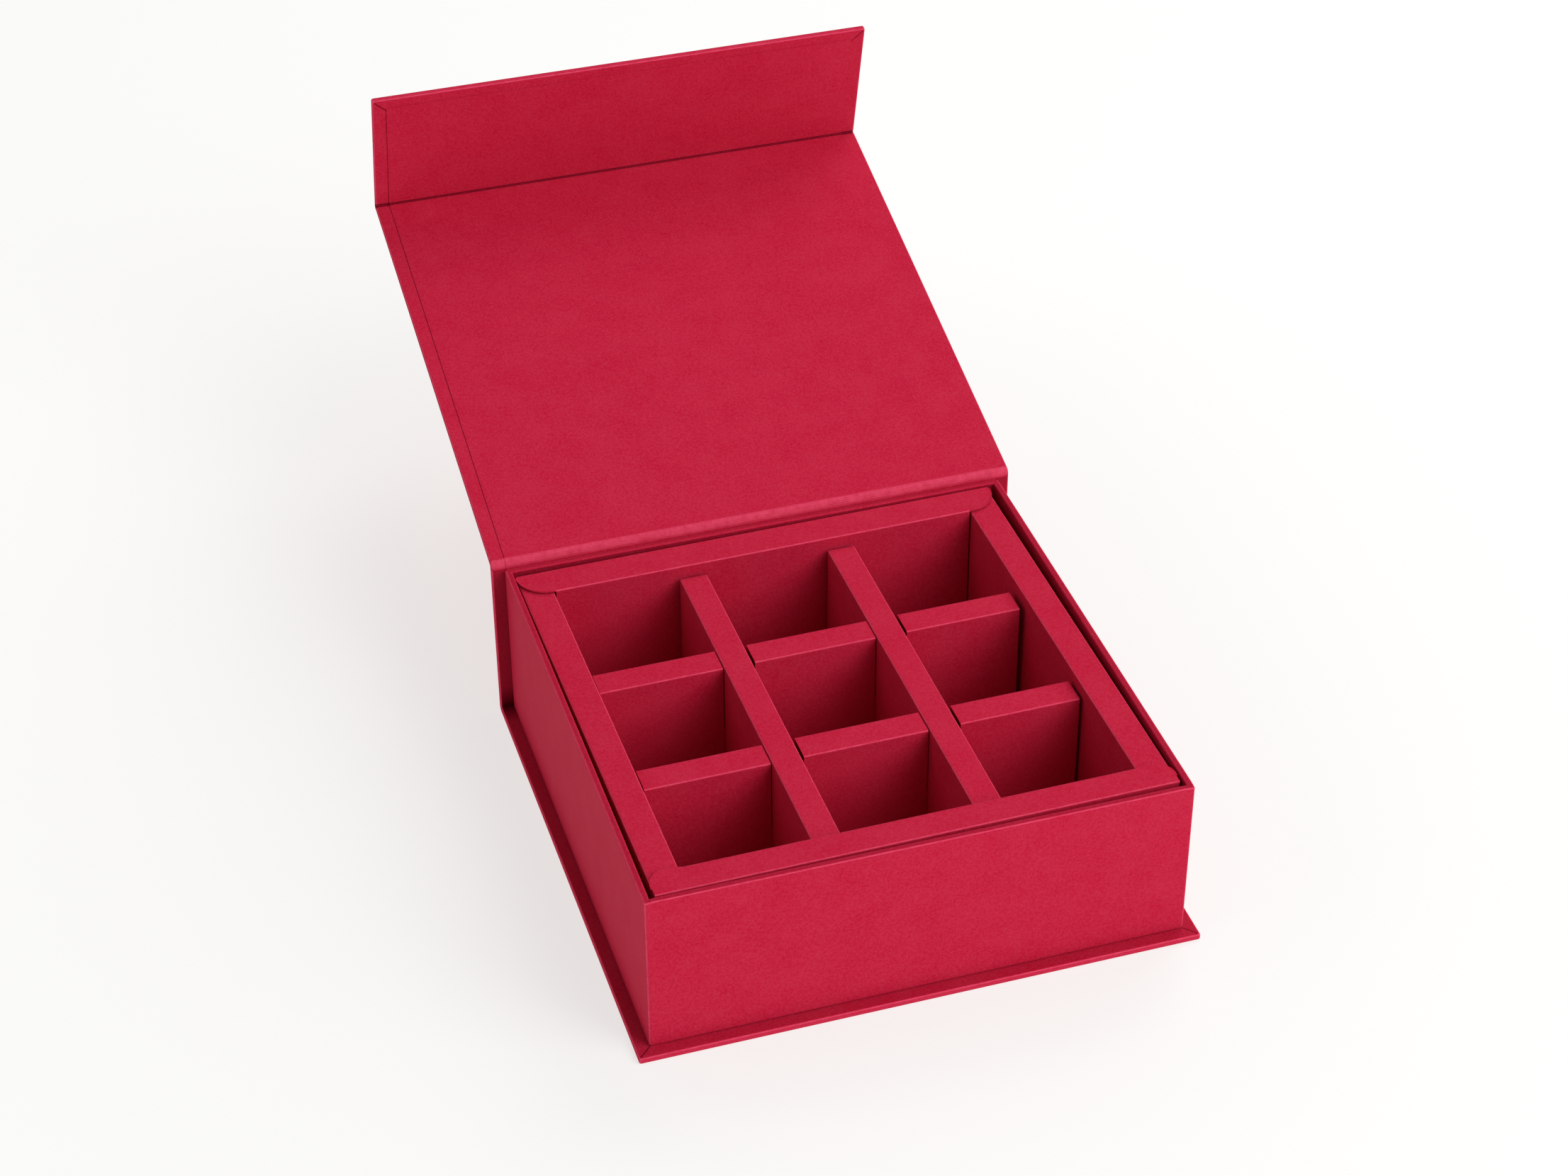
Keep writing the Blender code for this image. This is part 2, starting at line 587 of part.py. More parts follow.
def build_dividers(frame):
    long_centres = divider_centres(-WELL_X, WELL_X, CELLS_ACROSS, LONG_DIVIDER_WIDTH)
    cross_centres = divider_centres(WELL_FRONT_Y, WELL_REAR_Y, CELLS_DEEP, CROSS_DIVIDER_WIDTH)
    cross_centres[0] += FRONT_ROW_EXTRA
    long_half, cross_half = LONG_DIVIDER_WIDTH / 2, CROSS_DIVIDER_WIDTH / 2
    for number, middle in enumerate(long_centres, 1):
        reach = cross_half + NOTCH_UNDER_PLAY
        notches = [(y - reach, y + reach) for y in cross_centres]
        facets = channel_facets(WELL_FRONT_Y + LONG_FRONT_PLAY, WELL_REAR_Y - LONG_REAR_PLAY,
                                notches, long_half, LONG_TOP, False)
        divider = folded_sheet(f"long_divider_{number}", turned_quarter(facets), CARD, CRIMSON_CARD, frame)
        divider.location.x = middle
    for number, middle in enumerate(cross_centres, 1):
        left_play, right_play = CROSS_PLAYS[(number - 1) % len(CROSS_PLAYS)]
        left_reach, right_reach = long_half + NOTCH_LEFT_PLAY, long_half + NOTCH_RIGHT_PLAY
        notches = [(x - left_reach, x + right_reach) for x in long_centres]
        facets = channel_facets(-WELL_X + left_play, WELL_X - right_play,
                                notches, cross_half, CROSS_TOP, True)
        divider = folded_sheet(f"cross_divider_{number}", facets, CARD, CRIMSON_CARD, frame)
        divider.location.y = middle


def build_insert():
    frame = add_frame("insert_frame", (INSERT_X, INSERT_Y, INSERT_Z), 0)
    frame.rotation_euler.z = math.radians(INSERT_TURN)
    build_end_rail("insert_front_rail", -1, FRONT_RAIL_WIDTH, FRONT_TAB_ROUND_SHARES, frame)
    build_end_rail("insert_rear_rail", 1, REAR_RAIL_WIDTH, REAR_TAB_ROUND_SHARES, frame)
    build_side_rail("insert_left_rail", -1, frame)
    build_side_rail("insert_right_rail", 1, frame)
    flat_board("insert_floor", (-WELL_X + REST_GAP, WELL_FRONT_Y + REST_GAP, 0),
               (WELL_X - REST_GAP, WELL_REAR_Y - REST_GAP, CARD), CRIMSON_CARD, frame)
    build_dividers(frame)


def build_box():
    build_base()
    build_spine()
    lid_frame = build_lid()
    build_flap(lid_frame)
    lid_axis = Vector((0, LID_AXIS_Y, LID_AXIS_Z))
    hinge_paper("lid_hinge", lid_axis, SPINE_RISE, LID_LEAN, LID_CREASE_RADIUS)
    flap_axis = Vector((0, LID_LENGTH, 0))
    hinge_paper("flap_hinge", flap_axis, 0, FLAP_FOLD, FLAP_FOLD_RADIUS, lid_frame)
    build_tray()
    build_insert()


build_box()
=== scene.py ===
"""Looks of the compartment gift box: crimson uncoated paper over board, with a folded card insert.

Metres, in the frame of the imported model. The case is one chain of panels, base, spine, lid and flap. It is
drawn as layers in the plane of x = 0 and swept across the box: the wrap's outer side, the wrap's turned-in
side, and the liner on top of it. The tray's paper is swept round its four walls, and every card piece of
the insert is a folded channel. Each sheet is a closed solid of its own thickness with rounded folds.
"""
import json
import math

import bmesh
import bpy
import numpy as np
from mathutils import Matrix, Vector


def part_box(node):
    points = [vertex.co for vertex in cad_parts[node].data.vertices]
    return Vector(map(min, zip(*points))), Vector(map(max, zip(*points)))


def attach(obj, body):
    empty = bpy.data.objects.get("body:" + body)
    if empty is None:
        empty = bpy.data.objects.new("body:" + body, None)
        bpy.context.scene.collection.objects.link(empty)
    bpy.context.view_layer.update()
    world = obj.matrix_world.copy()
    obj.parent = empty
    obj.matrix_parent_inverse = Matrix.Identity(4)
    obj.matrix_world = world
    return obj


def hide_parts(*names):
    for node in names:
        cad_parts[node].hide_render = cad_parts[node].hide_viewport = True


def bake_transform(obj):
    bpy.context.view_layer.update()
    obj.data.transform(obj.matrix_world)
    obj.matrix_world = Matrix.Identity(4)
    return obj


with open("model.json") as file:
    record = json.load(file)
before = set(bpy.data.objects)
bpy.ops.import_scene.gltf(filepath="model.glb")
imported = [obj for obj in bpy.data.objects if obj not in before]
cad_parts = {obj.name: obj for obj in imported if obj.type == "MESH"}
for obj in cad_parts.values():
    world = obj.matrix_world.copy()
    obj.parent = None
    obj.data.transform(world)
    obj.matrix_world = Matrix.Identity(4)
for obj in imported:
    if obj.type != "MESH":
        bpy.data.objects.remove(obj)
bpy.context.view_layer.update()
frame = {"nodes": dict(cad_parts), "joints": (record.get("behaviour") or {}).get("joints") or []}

MM = 0.001

# Sheet goods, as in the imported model
PAPER = 0.15 * MM
SKIN = 0.3 * MM             # a sheet of paper with its glue
COVERED = 2.0 * MM          # a board papered on both sides
LINED = COVERED + SKIN
CARD = 0.45 * MM
GAP = 0.3 * MM              # between pieces that touch

# Meshes of the sheets
MERGE_DISTANCE = 1e-6       # metres, within which the vertices of two strips of a sheet are one
LEAST_EDGE = 1e-7           # metres
LEAST_AREA = 1e-12          # square metres
WORN_AND_HIGHLIGHTED_FOLD = 20              # degrees between neighbouring faces, from which a fold has its full wear and painted highlight
SHARP_FOLD = 42             # degrees between neighbouring faces, from which an edge is shaded sharp

# Places of the case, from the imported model
joint_places = {joint["name"]: joint["pos_m"] for joint in frame["joints"] if joint["type"] == "hinge"}
LID_AXIS = np.array(joint_places["lid_hinge"][1:])
FLAP_AXIS = np.array(joint_places["flap_hinge"][1:])
CASE_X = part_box("base_wrap")[1][0]
CASE_FRONT_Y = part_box("base_wrap")[0][1]
LID_RISE = math.degrees(math.atan2(FLAP_AXIS[1] - LID_AXIS[1], FLAP_AXIS[0] - LID_AXIS[0]))
FLAP_HEIGHT = 47.0 * MM
HINGE_HALF = 1.6 * MM       # from a hinge axis to the board on either side of it

# The case's paper
TURN_IN = 12.0 * MM
EDGE_RADIUS = 0.55 * MM     # of the paper round the edge of a board
CORNER_RADIUS = 0.7 * MM    # of the paper round a corner, seen from above
EDGE_STEPS = 5              # in every quarter turn of paper
MITRE_STEP = 0.12 * MM      # by how much one turn-in lies on the other at a mitre
MITRE_FADE = 3.0 * MM       # over which it comes down to the board again
MITRE_HEIGHT = 1.5 * MITRE_STEP     # from the base's upper face, within which the paper is its turn-in
SHEAR_REACH = 16.0 * MM     # from a turned end, within which the rows follow the mitres
NEAR_CORNER = 1.5 * CORNER_RADIUS   # from a turned end, within which there are no even rows
END_ROWS = (0.75, 0.5, 0.25)        # rows near a turned end, as shares of the turn-in
FACE_INSET = 1.4 * MM       # where the flat of a face meets the rounded edge
SUPPORT = 0.35 * MM         # from a rounded fold to the next row of a flat
PANEL_COLUMNS = 22
ROW_SPACING = 8.0 * MM

LINER_MARGIN = 4.6 * MM     # sides
LINER_FLAP_MARGIN = 3.6 * MM
LINER_RAISE = 0.2 * MM      # of the liner's face over the turn-ins
SHADE_REACH = 0.35 * MM     # of the painted shadow line along the liner's edge
MITRE_LINE = 0.55 * MM      # half width of the dark line along a mitre
MITRE_COLUMNS = (MITRE_LINE, MITRE_FADE / 3, MITRE_FADE)    # distances of the mesh's columns from it
FOOT_LINE = 0.6 * MM        # half width of the line of painted shade in the fold at the foot of the spine

# Wear and painted light of the paper, from 1 for rubbed light and painted highlight through 0 to the
# darkest, for dark joint lines and painted shade in folds
DARKEST = -2.0
LINER_LINE_SHADE = -1.2     # painted shadow along the liner's left edge, the side away from the light
LEDGE_SHADE = -0.5          # painted shade of the base's ledge round the tray
SPINE_SHADE = -0.9          # painted shade of the spine's sides beside it
VALLEY_SHADE = -1.3         # painted shade down in the flap's fold
RIM_SHADE = -0.65           # painted shade on top of the tray's rim, between its folds
RIM_FOLD_SHADE = RIM_SHADE / 3      # painted shade on the rim's inner fold
INNER_SHADE = -1.0          # painted shade down inside the tray's walls, in the gap beside the insert
HINGE_WEAR_AND_HIGHLIGHT = 0.8            # least wear of the lid's hinge, all over its inner side, as wear and a painted highlight on the bulging band
HINGE_OUTER_WEAR = 0.2      # wear of its outer side, without the inner side's painted highlight

# Hinges
SPINE_FOLD_RADIUS = 2.0 * MM        # outside, between base and spine
SPINE_FOLD_HALF = 1.0 * MM
SPINE_FOLD_STEPS = 8
SPINE_FOOT_RADIUS = 0.05 * MM       # of the sharp inner corner between base and spine
LID_BAND_RADIUS = 2.0 * MM          # of the lid's hinge, on its inner side
LID_CREASE_RADIUS = 0.4 * MM        # and on its outer side
LID_BAND_STEPS = 32
LID_BAND_RIDGES = 4
LID_BAND_RIDGE_DEPTH = 0.14 * MM
FLAP_FOLD_RADIUS = 1.2 * MM         # of the flap's hinge, on its outer side
FLAP_VALLEY_RADIUS = 0.25 * MM      # and on its inner side, where the paper goes down into the fold
FLAP_VALLEY_DEPTH = 0.4 * MM
FLAP_VALLEY_HALF = 0.75 * HINGE_HALF        # of its painted shade
FLAP_FOLD_STEPS = 12

# Tray
TRAY_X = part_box("tray_wrap")[1][0]
TRAY_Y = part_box("tray_wrap")[1][1]
TRAY_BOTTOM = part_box("tray_wrap")[0][2]
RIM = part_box("tray_wrap")[1][2]
TRAY_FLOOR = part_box("tray_floor_lining")[1][2]
TRAY_TURN_UNDER = 12.0 * MM
TRAY_FOOT_RADIUS = 0.5 * MM
TRAY_CORNER_RADIUS = 0.75 * MM
TRAY_INNER_CORNER_RADIUS = 0.15 * MM
RIM_OUTER_RADIUS = 0.45 * MM
RIM_INNER_RADIUS = 0.5 * MM
RIM_DROOP = 0.2 * MM        # of the rim at a corner
RIM_DROOP_REACH = 2.0 * MM
RIM_SHADE_INSET = 0.15 * MM  # of the painted shade on top of the rim from the folds on either side of it
WALL_ROWS = (0.2, 0.4, 0.6, 0.8)    # shares of the walls' height, outside
INNER_WALL_ROWS = (0.66, 0.33, 0.0)
BOARD_DROP = 0.3 * MM       # of the walls' boards below their packed height, inside the rounded rim
BOARD_CUT = 0.3 * MM        # of their outer corners
TRAY_STATIONS = 20          # along each wall

# Insert, in its own frame
INSERT_PLACE = (-0.2 * MM, 0.25 * MM, 4.45 * MM)
INSERT_TURN = 0.55          # degrees
RAIL_X = 76.6 * MM
RAIL_Y = 76.1 * MM
WELL_X = 67.2 * MM
WELL_FRONT_Y = -66.9 * MM
WELL_REAR_Y = 65.2 * MM
RAIL_TOP = 50.2 * MM
SIDE_RAIL_TOP = RAIL_TOP - CARD - GAP
CORNER_SLIT = 0.5 * MM
CARD_FOLD_RADIUS = 0.55 * MM
CARD_FOLD_STEPS = 4
FRONT_TAB_ROUND = (4.5 * MM, 6.0 * MM)
REAR_TAB_ROUND = (8.4 * MM, 9.6 * MM)
TAB_ROUND_STEPS = 12
TAB_STRAIGHT_STEPS = 3
TAB_LIFT = 0.28 * MM        # of a tab's free edge off the side rail
TAB_LIFT_STATIONS = 3       # over which it rises, from the tab's root
TAB_FALL_STATIONS = 8       # and over which it comes down to the tab's end
TAB_LIFT_POWER = 6          # how closely the lift keeps to the free edge
TAB_EDGE_SHARES = (0.8, 0.92, 1.0)  # rows towards the free edge, as shares of the tab's breadth

LONG_X = 23.842 * MM        # of the long dividers' middles, either side
LONG_HALF = 4.325 * MM      # half their width
LONG_TOP = 46.4 * MM
LONG_ENDS = (WELL_FRONT_Y + 0.6 * MM, WELL_REAR_Y - 1.3 * MM)
CROSS_Y = (-23.483 * MM, 22.683 * MM)
CROSS_HALF = 4.55 * MM
CROSS_TOP = 45.9 * MM
CROSS_PLAYS = ((1.3 * MM, 1.1 * MM), (1.1 * MM, 1.9 * MM))  # at the left and right end of each
DIVIDER_BOTTOM = 0.75 * MM
LAP_Z = 23.575 * MM         # half the dividers' height, where their notches meet
NOTCH_LEFT = 0.3 * MM       # play of a long divider in a cross divider's notch
NOTCH_RIGHT = 1.0 * MM
NOTCH_UNDER = 0.3 * MM      # and of a cross divider in a long divider's notch, either side

# Camera, found from the photograph
PHOTO_WIDTH = 2212
FOCAL_PIXELS = 4656.5
CAMERA_PLACE = (-239.55 * MM, -720.36 * MM, 650.55 * MM)
CAMERA_FORWARD = (0.23831, 0.76639, -0.59653)
CAMERA_RIGHT = (0.95408, -0.29954, -0.00368)
SENSOR_WIDTH = 36.0         # millimetres
CLIP_RANGE = (0.01, 50)     # metres

# Colours of the paper and card
CRIMSON_DARK = (0.526, 0.0075, 0.0385)
CRIMSON_LIGHT = (0.586, 0.0270, 0.0665)
# Pale for wear and for painted highlights on bulging folds and the lid's hinge
CRIMSON_WORN_AND_HIGHLIGHT = (0.88, 0.095, 0.19)
# Dark for the mitres' joint lines and for painted shade
CRIMSON_JOINT_AND_SHADE = (0.11, 0.0, 0.006)
CRIMSONS = (CRIMSON_DARK, CRIMSON_LIGHT, CRIMSON_WORN_AND_HIGHLIGHT, CRIMSON_JOINT_AND_SHADE)

# Colours of the hidden board and steel
GREYBOARD_DARK = (0.21, 0.2, 0.18, 1)
GREYBOARD_LIGHT = (0.38, 0.36, 0.32, 1)
STEEL_DARK = (0.5, 0.5, 0.52, 1)
STEEL_LIGHT = (0.62, 0.62, 0.64, 1)

# Texture of the paper and card; scales are of noises, per metre
CLOUD_SCALE = 90
GRAIN_SCALE = 1400
PATCH_SCALE = 420
FIBRE_SCALES = (800, 620)           # of the fibres, and of the breaks in them
TURNED_FIBRE_SCALES = (560, 760)    # and of a second layer of fibres, turned against the first
FIBRE_TURN_AXIS = (0.35, 0.5, 0.8)
FIBRE_TURN = 0.6                    # radians
FIBRE_CURL = 1.2
FIBRE_HALF_WIDTH = 0.035            # in the noise's own range
FIBRE_BREAK = (0.5, 0.58)           # values of the second noise over which a fibre comes in
CLOUD_TONE = 0.3                    # shares of the way from the dark colour to the light one
GRAIN_TONE = 0.6
FIBRE_TONE = 0.4
WEAR_STARTS = 0.35                  # wear and painted highlight at which the paper begins to pale
MOST_WEAR = 0.85
LEAST_PATCH = 0.5                   # share of the wear and painted highlight left in the least worn patches
PAPER_ROUGHNESS = (0.62, 0.74)
PAPER_RELIEF = 0.03 * MM
PAPER_RELIEF_STRENGTH = 0.6
BOARD_RELIEF = 0.05 * MM

# Floor and light
FLOOR_HALF = 6.0                    # metres
FLOOR_SQUARES = 8                   # each way
FLOOR_DROP = 0.05 * MM              # below the box
FLOOR_SHADE_REACH = (0.12, 0.36)     # metres from the box, over which the floor's glow grows, a painted shade round the box
FLOOR_GLOW = (0.675, 0.735)         # a back-lit sweep, as under a product photograph, dimmed near the box as painted shade
WORLD_STRENGTH = 0.27
LIGHT_AIM = (0, 0.05, 0.03)
SOFTBOX_DISTANCE = 1.6
SOFTBOX_SIDE = 0.9
SOFTBOXES = [                       # name, degrees round from the front to the right, degrees up, watts
    ("key_right_front", 45, 30, 8.6),
    ("fill_right_front_high", 45, 58, 5.2),
    ("back_right", 135, 50, 7.2),
    ("fill_front", 24, 30, 4.5),
    ("fill_left", -90, 35, 2.4),
]


# Meshes

def grid(bm, rows, flip=False):
    """Adds a grid of quads; rows are lists of points. The normal is row direction x column direction."""
    verts = [[bm.verts.new(point) for point in row] for row in rows]
    for row, following in zip(verts, verts[1:]):
        for number in range(len(row) - 1):
            quad = [row[number], following[number], following[number + 1], row[number + 1]]
            bm.faces.new(quad[::-1] if flip else quad)


def stations_between(marks):
    """Every mark along a line, and even steps between them."""
    places = []
    for here, following in zip(marks, marks[1:]):
        count = max(1, round((following - here) / ROW_SPACING))
        places += [here + (following - here) * step / count for step in range(count)]
    return places + [marks[-1]]


def quarter_turn(steps):
    """Angles of a quarter turn, in even steps from 0."""
    return [math.pi / 2 * step / steps for step in range(steps + 1)]


def fold_wear_and_highlight(vert):
    """How sharply a sheet bulges at a corner of its mesh, from 0 for flat or hollow to 1."""
    normals = [face.normal for face in vert.link_faces if face.calc_area() > LEAST_AREA]
    widest = max((a.angle(b, 0) for a in normals for b in normals), default=0)
    around = [edge.other_vert(vert).co - vert.co for edge in vert.link_edges]
    bulges = sum(way.normalized().dot(vert.normal) for way in around) < 0
    return min(widest / math.radians(WORN_AND_HIGHLIGHTED_FOLD), 1) if bulges else 0.0


def sheet(name, bm, thickness, material, least_wear_and_highlight=0.0, mark=None):
    """Turns a skin of outer faces into a closed sheet of that thickness, with smooth rounded folds.

    mark gives, for a place on the skin, how pale or dark it is, from 1 for rubbed light to DARKEST for dark
    joint lines and the deepest painted shade, or None where that follows from the fold, paler where it
    bulges, both rubbed and as a painted highlight.
    """
    bmesh.ops.remove_doubles(bm, verts=bm.verts, dist=MERGE_DISTANCE)
    bmesh.ops.dissolve_degenerate(bm, edges=bm.edges, dist=LEAST_EDGE)
    bm.normal_update()
    bulge = {vert: fold_wear_and_highlight(vert) for vert in bm.verts}
    # Each vertex's wear and painted light: pale for wear and painted highlights, dark for mitre joint lines
    # and painted shade
    wear_and_painted_light = {}
    for vert in bm.verts:
        marked = mark(vert.co) if mark else None
        around = [bulge[edge.other_vert(vert)] for edge in vert.link_edges]
        wear_and_painted_light[vert] = max(min([bulge[vert]] + around), least_wear_and_highlight) if marked is None else marked
    skin = list(bm.faces)
    borders = [edge for edge in bm.edges if edge.is_boundary]
    directed = [(loop.vert, loop.link_loop_next.vert) for edge in borders for loop in edge.link_loops]
    inner = {vert: bm.verts.new(vert.co - vert.normal * thickness) for vert in list(bm.verts)}
    for face in skin:
        bm.faces.new([inner[vert] for vert in reversed(face.verts)])
    for start, end in directed:
        bm.faces.new([end, start, inner[start], inner[end]])
    wear_and_painted_light.update({behind: wear_and_painted_light[vert] for vert, behind in inner.items()})
    shares = [wear_and_painted_light[vert] for vert in bm.verts]
    mesh = bpy.data.meshes.new(name)
    bm.to_mesh(mesh)
    bm.free()
    attribute = mesh.attributes.new("wear_and_painted_light", "FLOAT", "POINT")
    attribute.data.foreach_set("value", shares)
    rest = mesh.attributes.new("rest", "FLOAT_VECTOR", "POINT")
    rest.data.foreach_set("vector", [value for vert in mesh.vertices for value in vert.co])
    mesh.polygons.foreach_set("use_smooth", [True] * len(mesh.polygons))
    mesh.set_sharp_from_angle(angle=math.radians(SHARP_FOLD))
    mesh.materials.append(material)
    piece = bpy.data.objects.new(name, mesh)
    bpy.context.collection.objects.link(piece)
    weighted = piece.modifiers.new("weighted_normals", "WEIGHTED_NORMAL")
    weighted.keep_sharp = True
    return piece


# Layers of the case in the plane of x = 0

def directions(rise):
    """Along a panel and towards its inner side, as (y, z)."""
    angle = math.radians(rise)
    return np.array([math.cos(angle), math.sin(angle)]), np.array([-math.sin(angle), math.cos(angle)])


def rounded(start, corner, end, radius, steps):
    """steps + 1 points from start to end, rounding the corner between them."""
    before = (corner - start) / np.linalg.norm(corner - start)
    after = (end - corner) / np.linalg.norm(end - corner)
    bend = math.acos(float(np.clip(before @ after, -1, 1)))
    inward = after - before * (before @ after)
    inward = inward / np.linalg.norm(inward)
    centre = corner - before * (radius * math.tan(bend / 2)) + inward * radius
    angles = np.linspace(0, bend, steps - 1)
    arc = [centre - inward * radius * math.cos(a) + before * radius * math.sin(a) for a in angles]
    return [start] + arc + [end]


class Chain:
    """The case's layers, as places along the chain (s) and the point of each layer there."""

    def __init__(self):
        front = np.array([CASE_FRONT_Y, LINED / 2])
        heel = np.array([LID_AXIS[0], LINED / 2])
        free_end = FLAP_AXIS + directions(LID_RISE + 90)[0] * FLAP_HEIGHT
        self.knots = [front, heel, LID_AXIS, FLAP_AXIS, free_end]
        self.rises = [0, 90, LID_RISE, LID_RISE + 90]
        lengths = [np.linalg.norm(b - a) for a, b in zip(self.knots, self.knots[1:])]
        self.corner_s = [0.0] + [float(s) for s in np.cumsum(lengths)]
        inner = LINED / 2 - SKIN
        self.offsets = {"outer": -LINED / 2, "inner": inner, "liner": inner + LINER_RAISE}
        self.s = []
        self.layers = {name: [] for name in self.offsets}
        self.add_end(0)
        self.add_corner(1, SPINE_FOLD_HALF, SPINE_FOLD_STEPS, SPINE_FOLD_RADIUS, SPINE_FOOT_RADIUS)
        self.add_corner(2, HINGE_HALF, LID_BAND_STEPS, LID_CREASE_RADIUS, LID_BAND_RADIUS)
        self.add_corner(3, HINGE_HALF, FLAP_FOLD_STEPS, FLAP_FOLD_RADIUS, FLAP_VALLEY_RADIUS,
                        FLAP_VALLEY_DEPTH)
        self.add_end(4)
        self.crease_lid_band()
        self.foot = np.array([LID_AXIS[0] - self.offsets["inner"], LINED / 2 + self.offsets["inner"]])

    def add_end(self, number):
        """A station at the chain's first or last knot."""
        inward = directions(self.rises[min(number, 3)])[1]
        self.s.append(self.corner_s[number])
        for name, offset in self.offsets.items():
            self.layers[name].append(self.knots[number] + inward * offset)

    def add_corner(self, number, half, steps, outer_radius, inner_radius, valley=0.0):
        """Stations round a corner. valley is how much deeper the inner layers go into it."""
        along, inward = directions(self.rises[number - 1])
        next_along, next_inward = directions(self.rises[number])
        half_bend = math.radians(self.rises[number] - self.rises[number - 1]) / 2
        knot = self.knots[number]
        middle = self.corner_s[number]
        self.s += [float(s) for s in np.linspace(middle - half, middle + half, steps + 1)]
        for name, offset in self.offsets.items():
            start = knot + inward * offset - along * half
            end = knot + next_inward * offset + next_along * half
            corner = knot + inward * offset - along * (offset * math.tan(half_bend))
            radius = outer_radius
            if name != "outer":
                radius = inner_radius
                corner = corner + (knot - corner) / np.linalg.norm(knot - corner) * valley * math.sqrt(2)
            self.layers[name] += rounded(start, corner, end, radius, steps)

    def crease_lid_band(self):
        """Creases pressed into the inner side of the lid's hinge, along it."""
        first, last = self.band(2)
        for name in ("inner", "liner"):
            layer = self.layers[name]
            for number in range(first + 1, last):
                share = (number - first - 1) / (last - first - 2)
                depth = LID_BAND_RIDGE_DEPTH * (1 + math.cos(2 * math.pi * LID_BAND_RIDGES * share)) / 2
                centre = self.knots[2]
                inward = centre - layer[number]
                layer[number] = layer[number] + inward / np.linalg.norm(inward) * depth

    def band(self, corner):
        """Numbers of the first and last station of a hinge."""
        middle = self.corner_s[corner]
        found = [n for n, s in enumerate(self.s) if abs(s - middle) <= HINGE_HALF + MERGE_DISTANCE]
        return found[0], found[-1]

    def place(self, x, s, height, low="outer", high="inner"):
        """The point at x and s, at a share of the height from one layer to another."""
        below = [np.interp(s, self.s, [p[k] for p in self.layers[low]]) for k in (0, 1)]
        above = [np.interp(s, self.s, [p[k] for p in self.layers[high]]) for k in (0, 1)]
        y, z = (b + (a - b) * height for b, a in zip(below, above))
        return Vector((x, y, z))

    def rows(self, start, end):
        """Places along the chain from start to end: every station, and even steps between them."""
        return stations_between([start] + [s for s in self.s if start < s < end] + [end])


chain = Chain()
S_FRONT = 0.0
S_LID_BAND = (chain.corner_s[2] - HINGE_HALF, chain.corner_s[2] + HINGE_HALF)
S_FLAP_BAND = (chain.corner_s[3] - HINGE_HALF, chain.corner_s[3] + HINGE_HALF)
S_END = chain.corner_s[4]
S_SPINE_FOOT = chain.corner_s[1] + HINGE_HALF


def edge_profile():
    """From the outer face round the edge to the turn-in's end, as (inset from the edge, share of height)."""
    points = [(FACE_INSET, 0.0), (EDGE_RADIUS + SUPPORT, 0.0)]
    for angle in quarter_turn(EDGE_STEPS):
        points.append((EDGE_RADIUS * (1 - math.sin(angle)), EDGE_RADIUS * (1 - math.cos(angle)) / COVERED))
    upper = [(inset, 1 - height) for inset, height in points[::-1]]
    return points + upper + [(LINER_MARGIN - SHADE_REACH, 1.0), (LINER_MARGIN, 1.0), (TURN_IN, 1.0)]


def end_distances(places, end):
    """Distances of the rows from a turned end, the nearest one where the corner's rounding starts."""
    distances = sorted((abs(end - place) for place in places), reverse=True)
    kept = [distance for distance in distances if distance > NEAR_CORNER]
    near = [TURN_IN * share for share in END_ROWS if TURN_IN * share < kept[-1]]
    return kept + near + [CORNER_RADIUS + MITRE_LINE, CORNER_RADIUS]


def sheared(distance, inset):
    """The distance from a turned end at some inset, where rows near the end follow the mitres."""
    mitre = max(inset, CORNER_RADIUS)
    share = max(0.0, 1 - (distance - CORNER_RADIUS) / (SHEAR_REACH - CORNER_RADIUS))
    return distance + (mitre - CORNER_RADIUS) * share


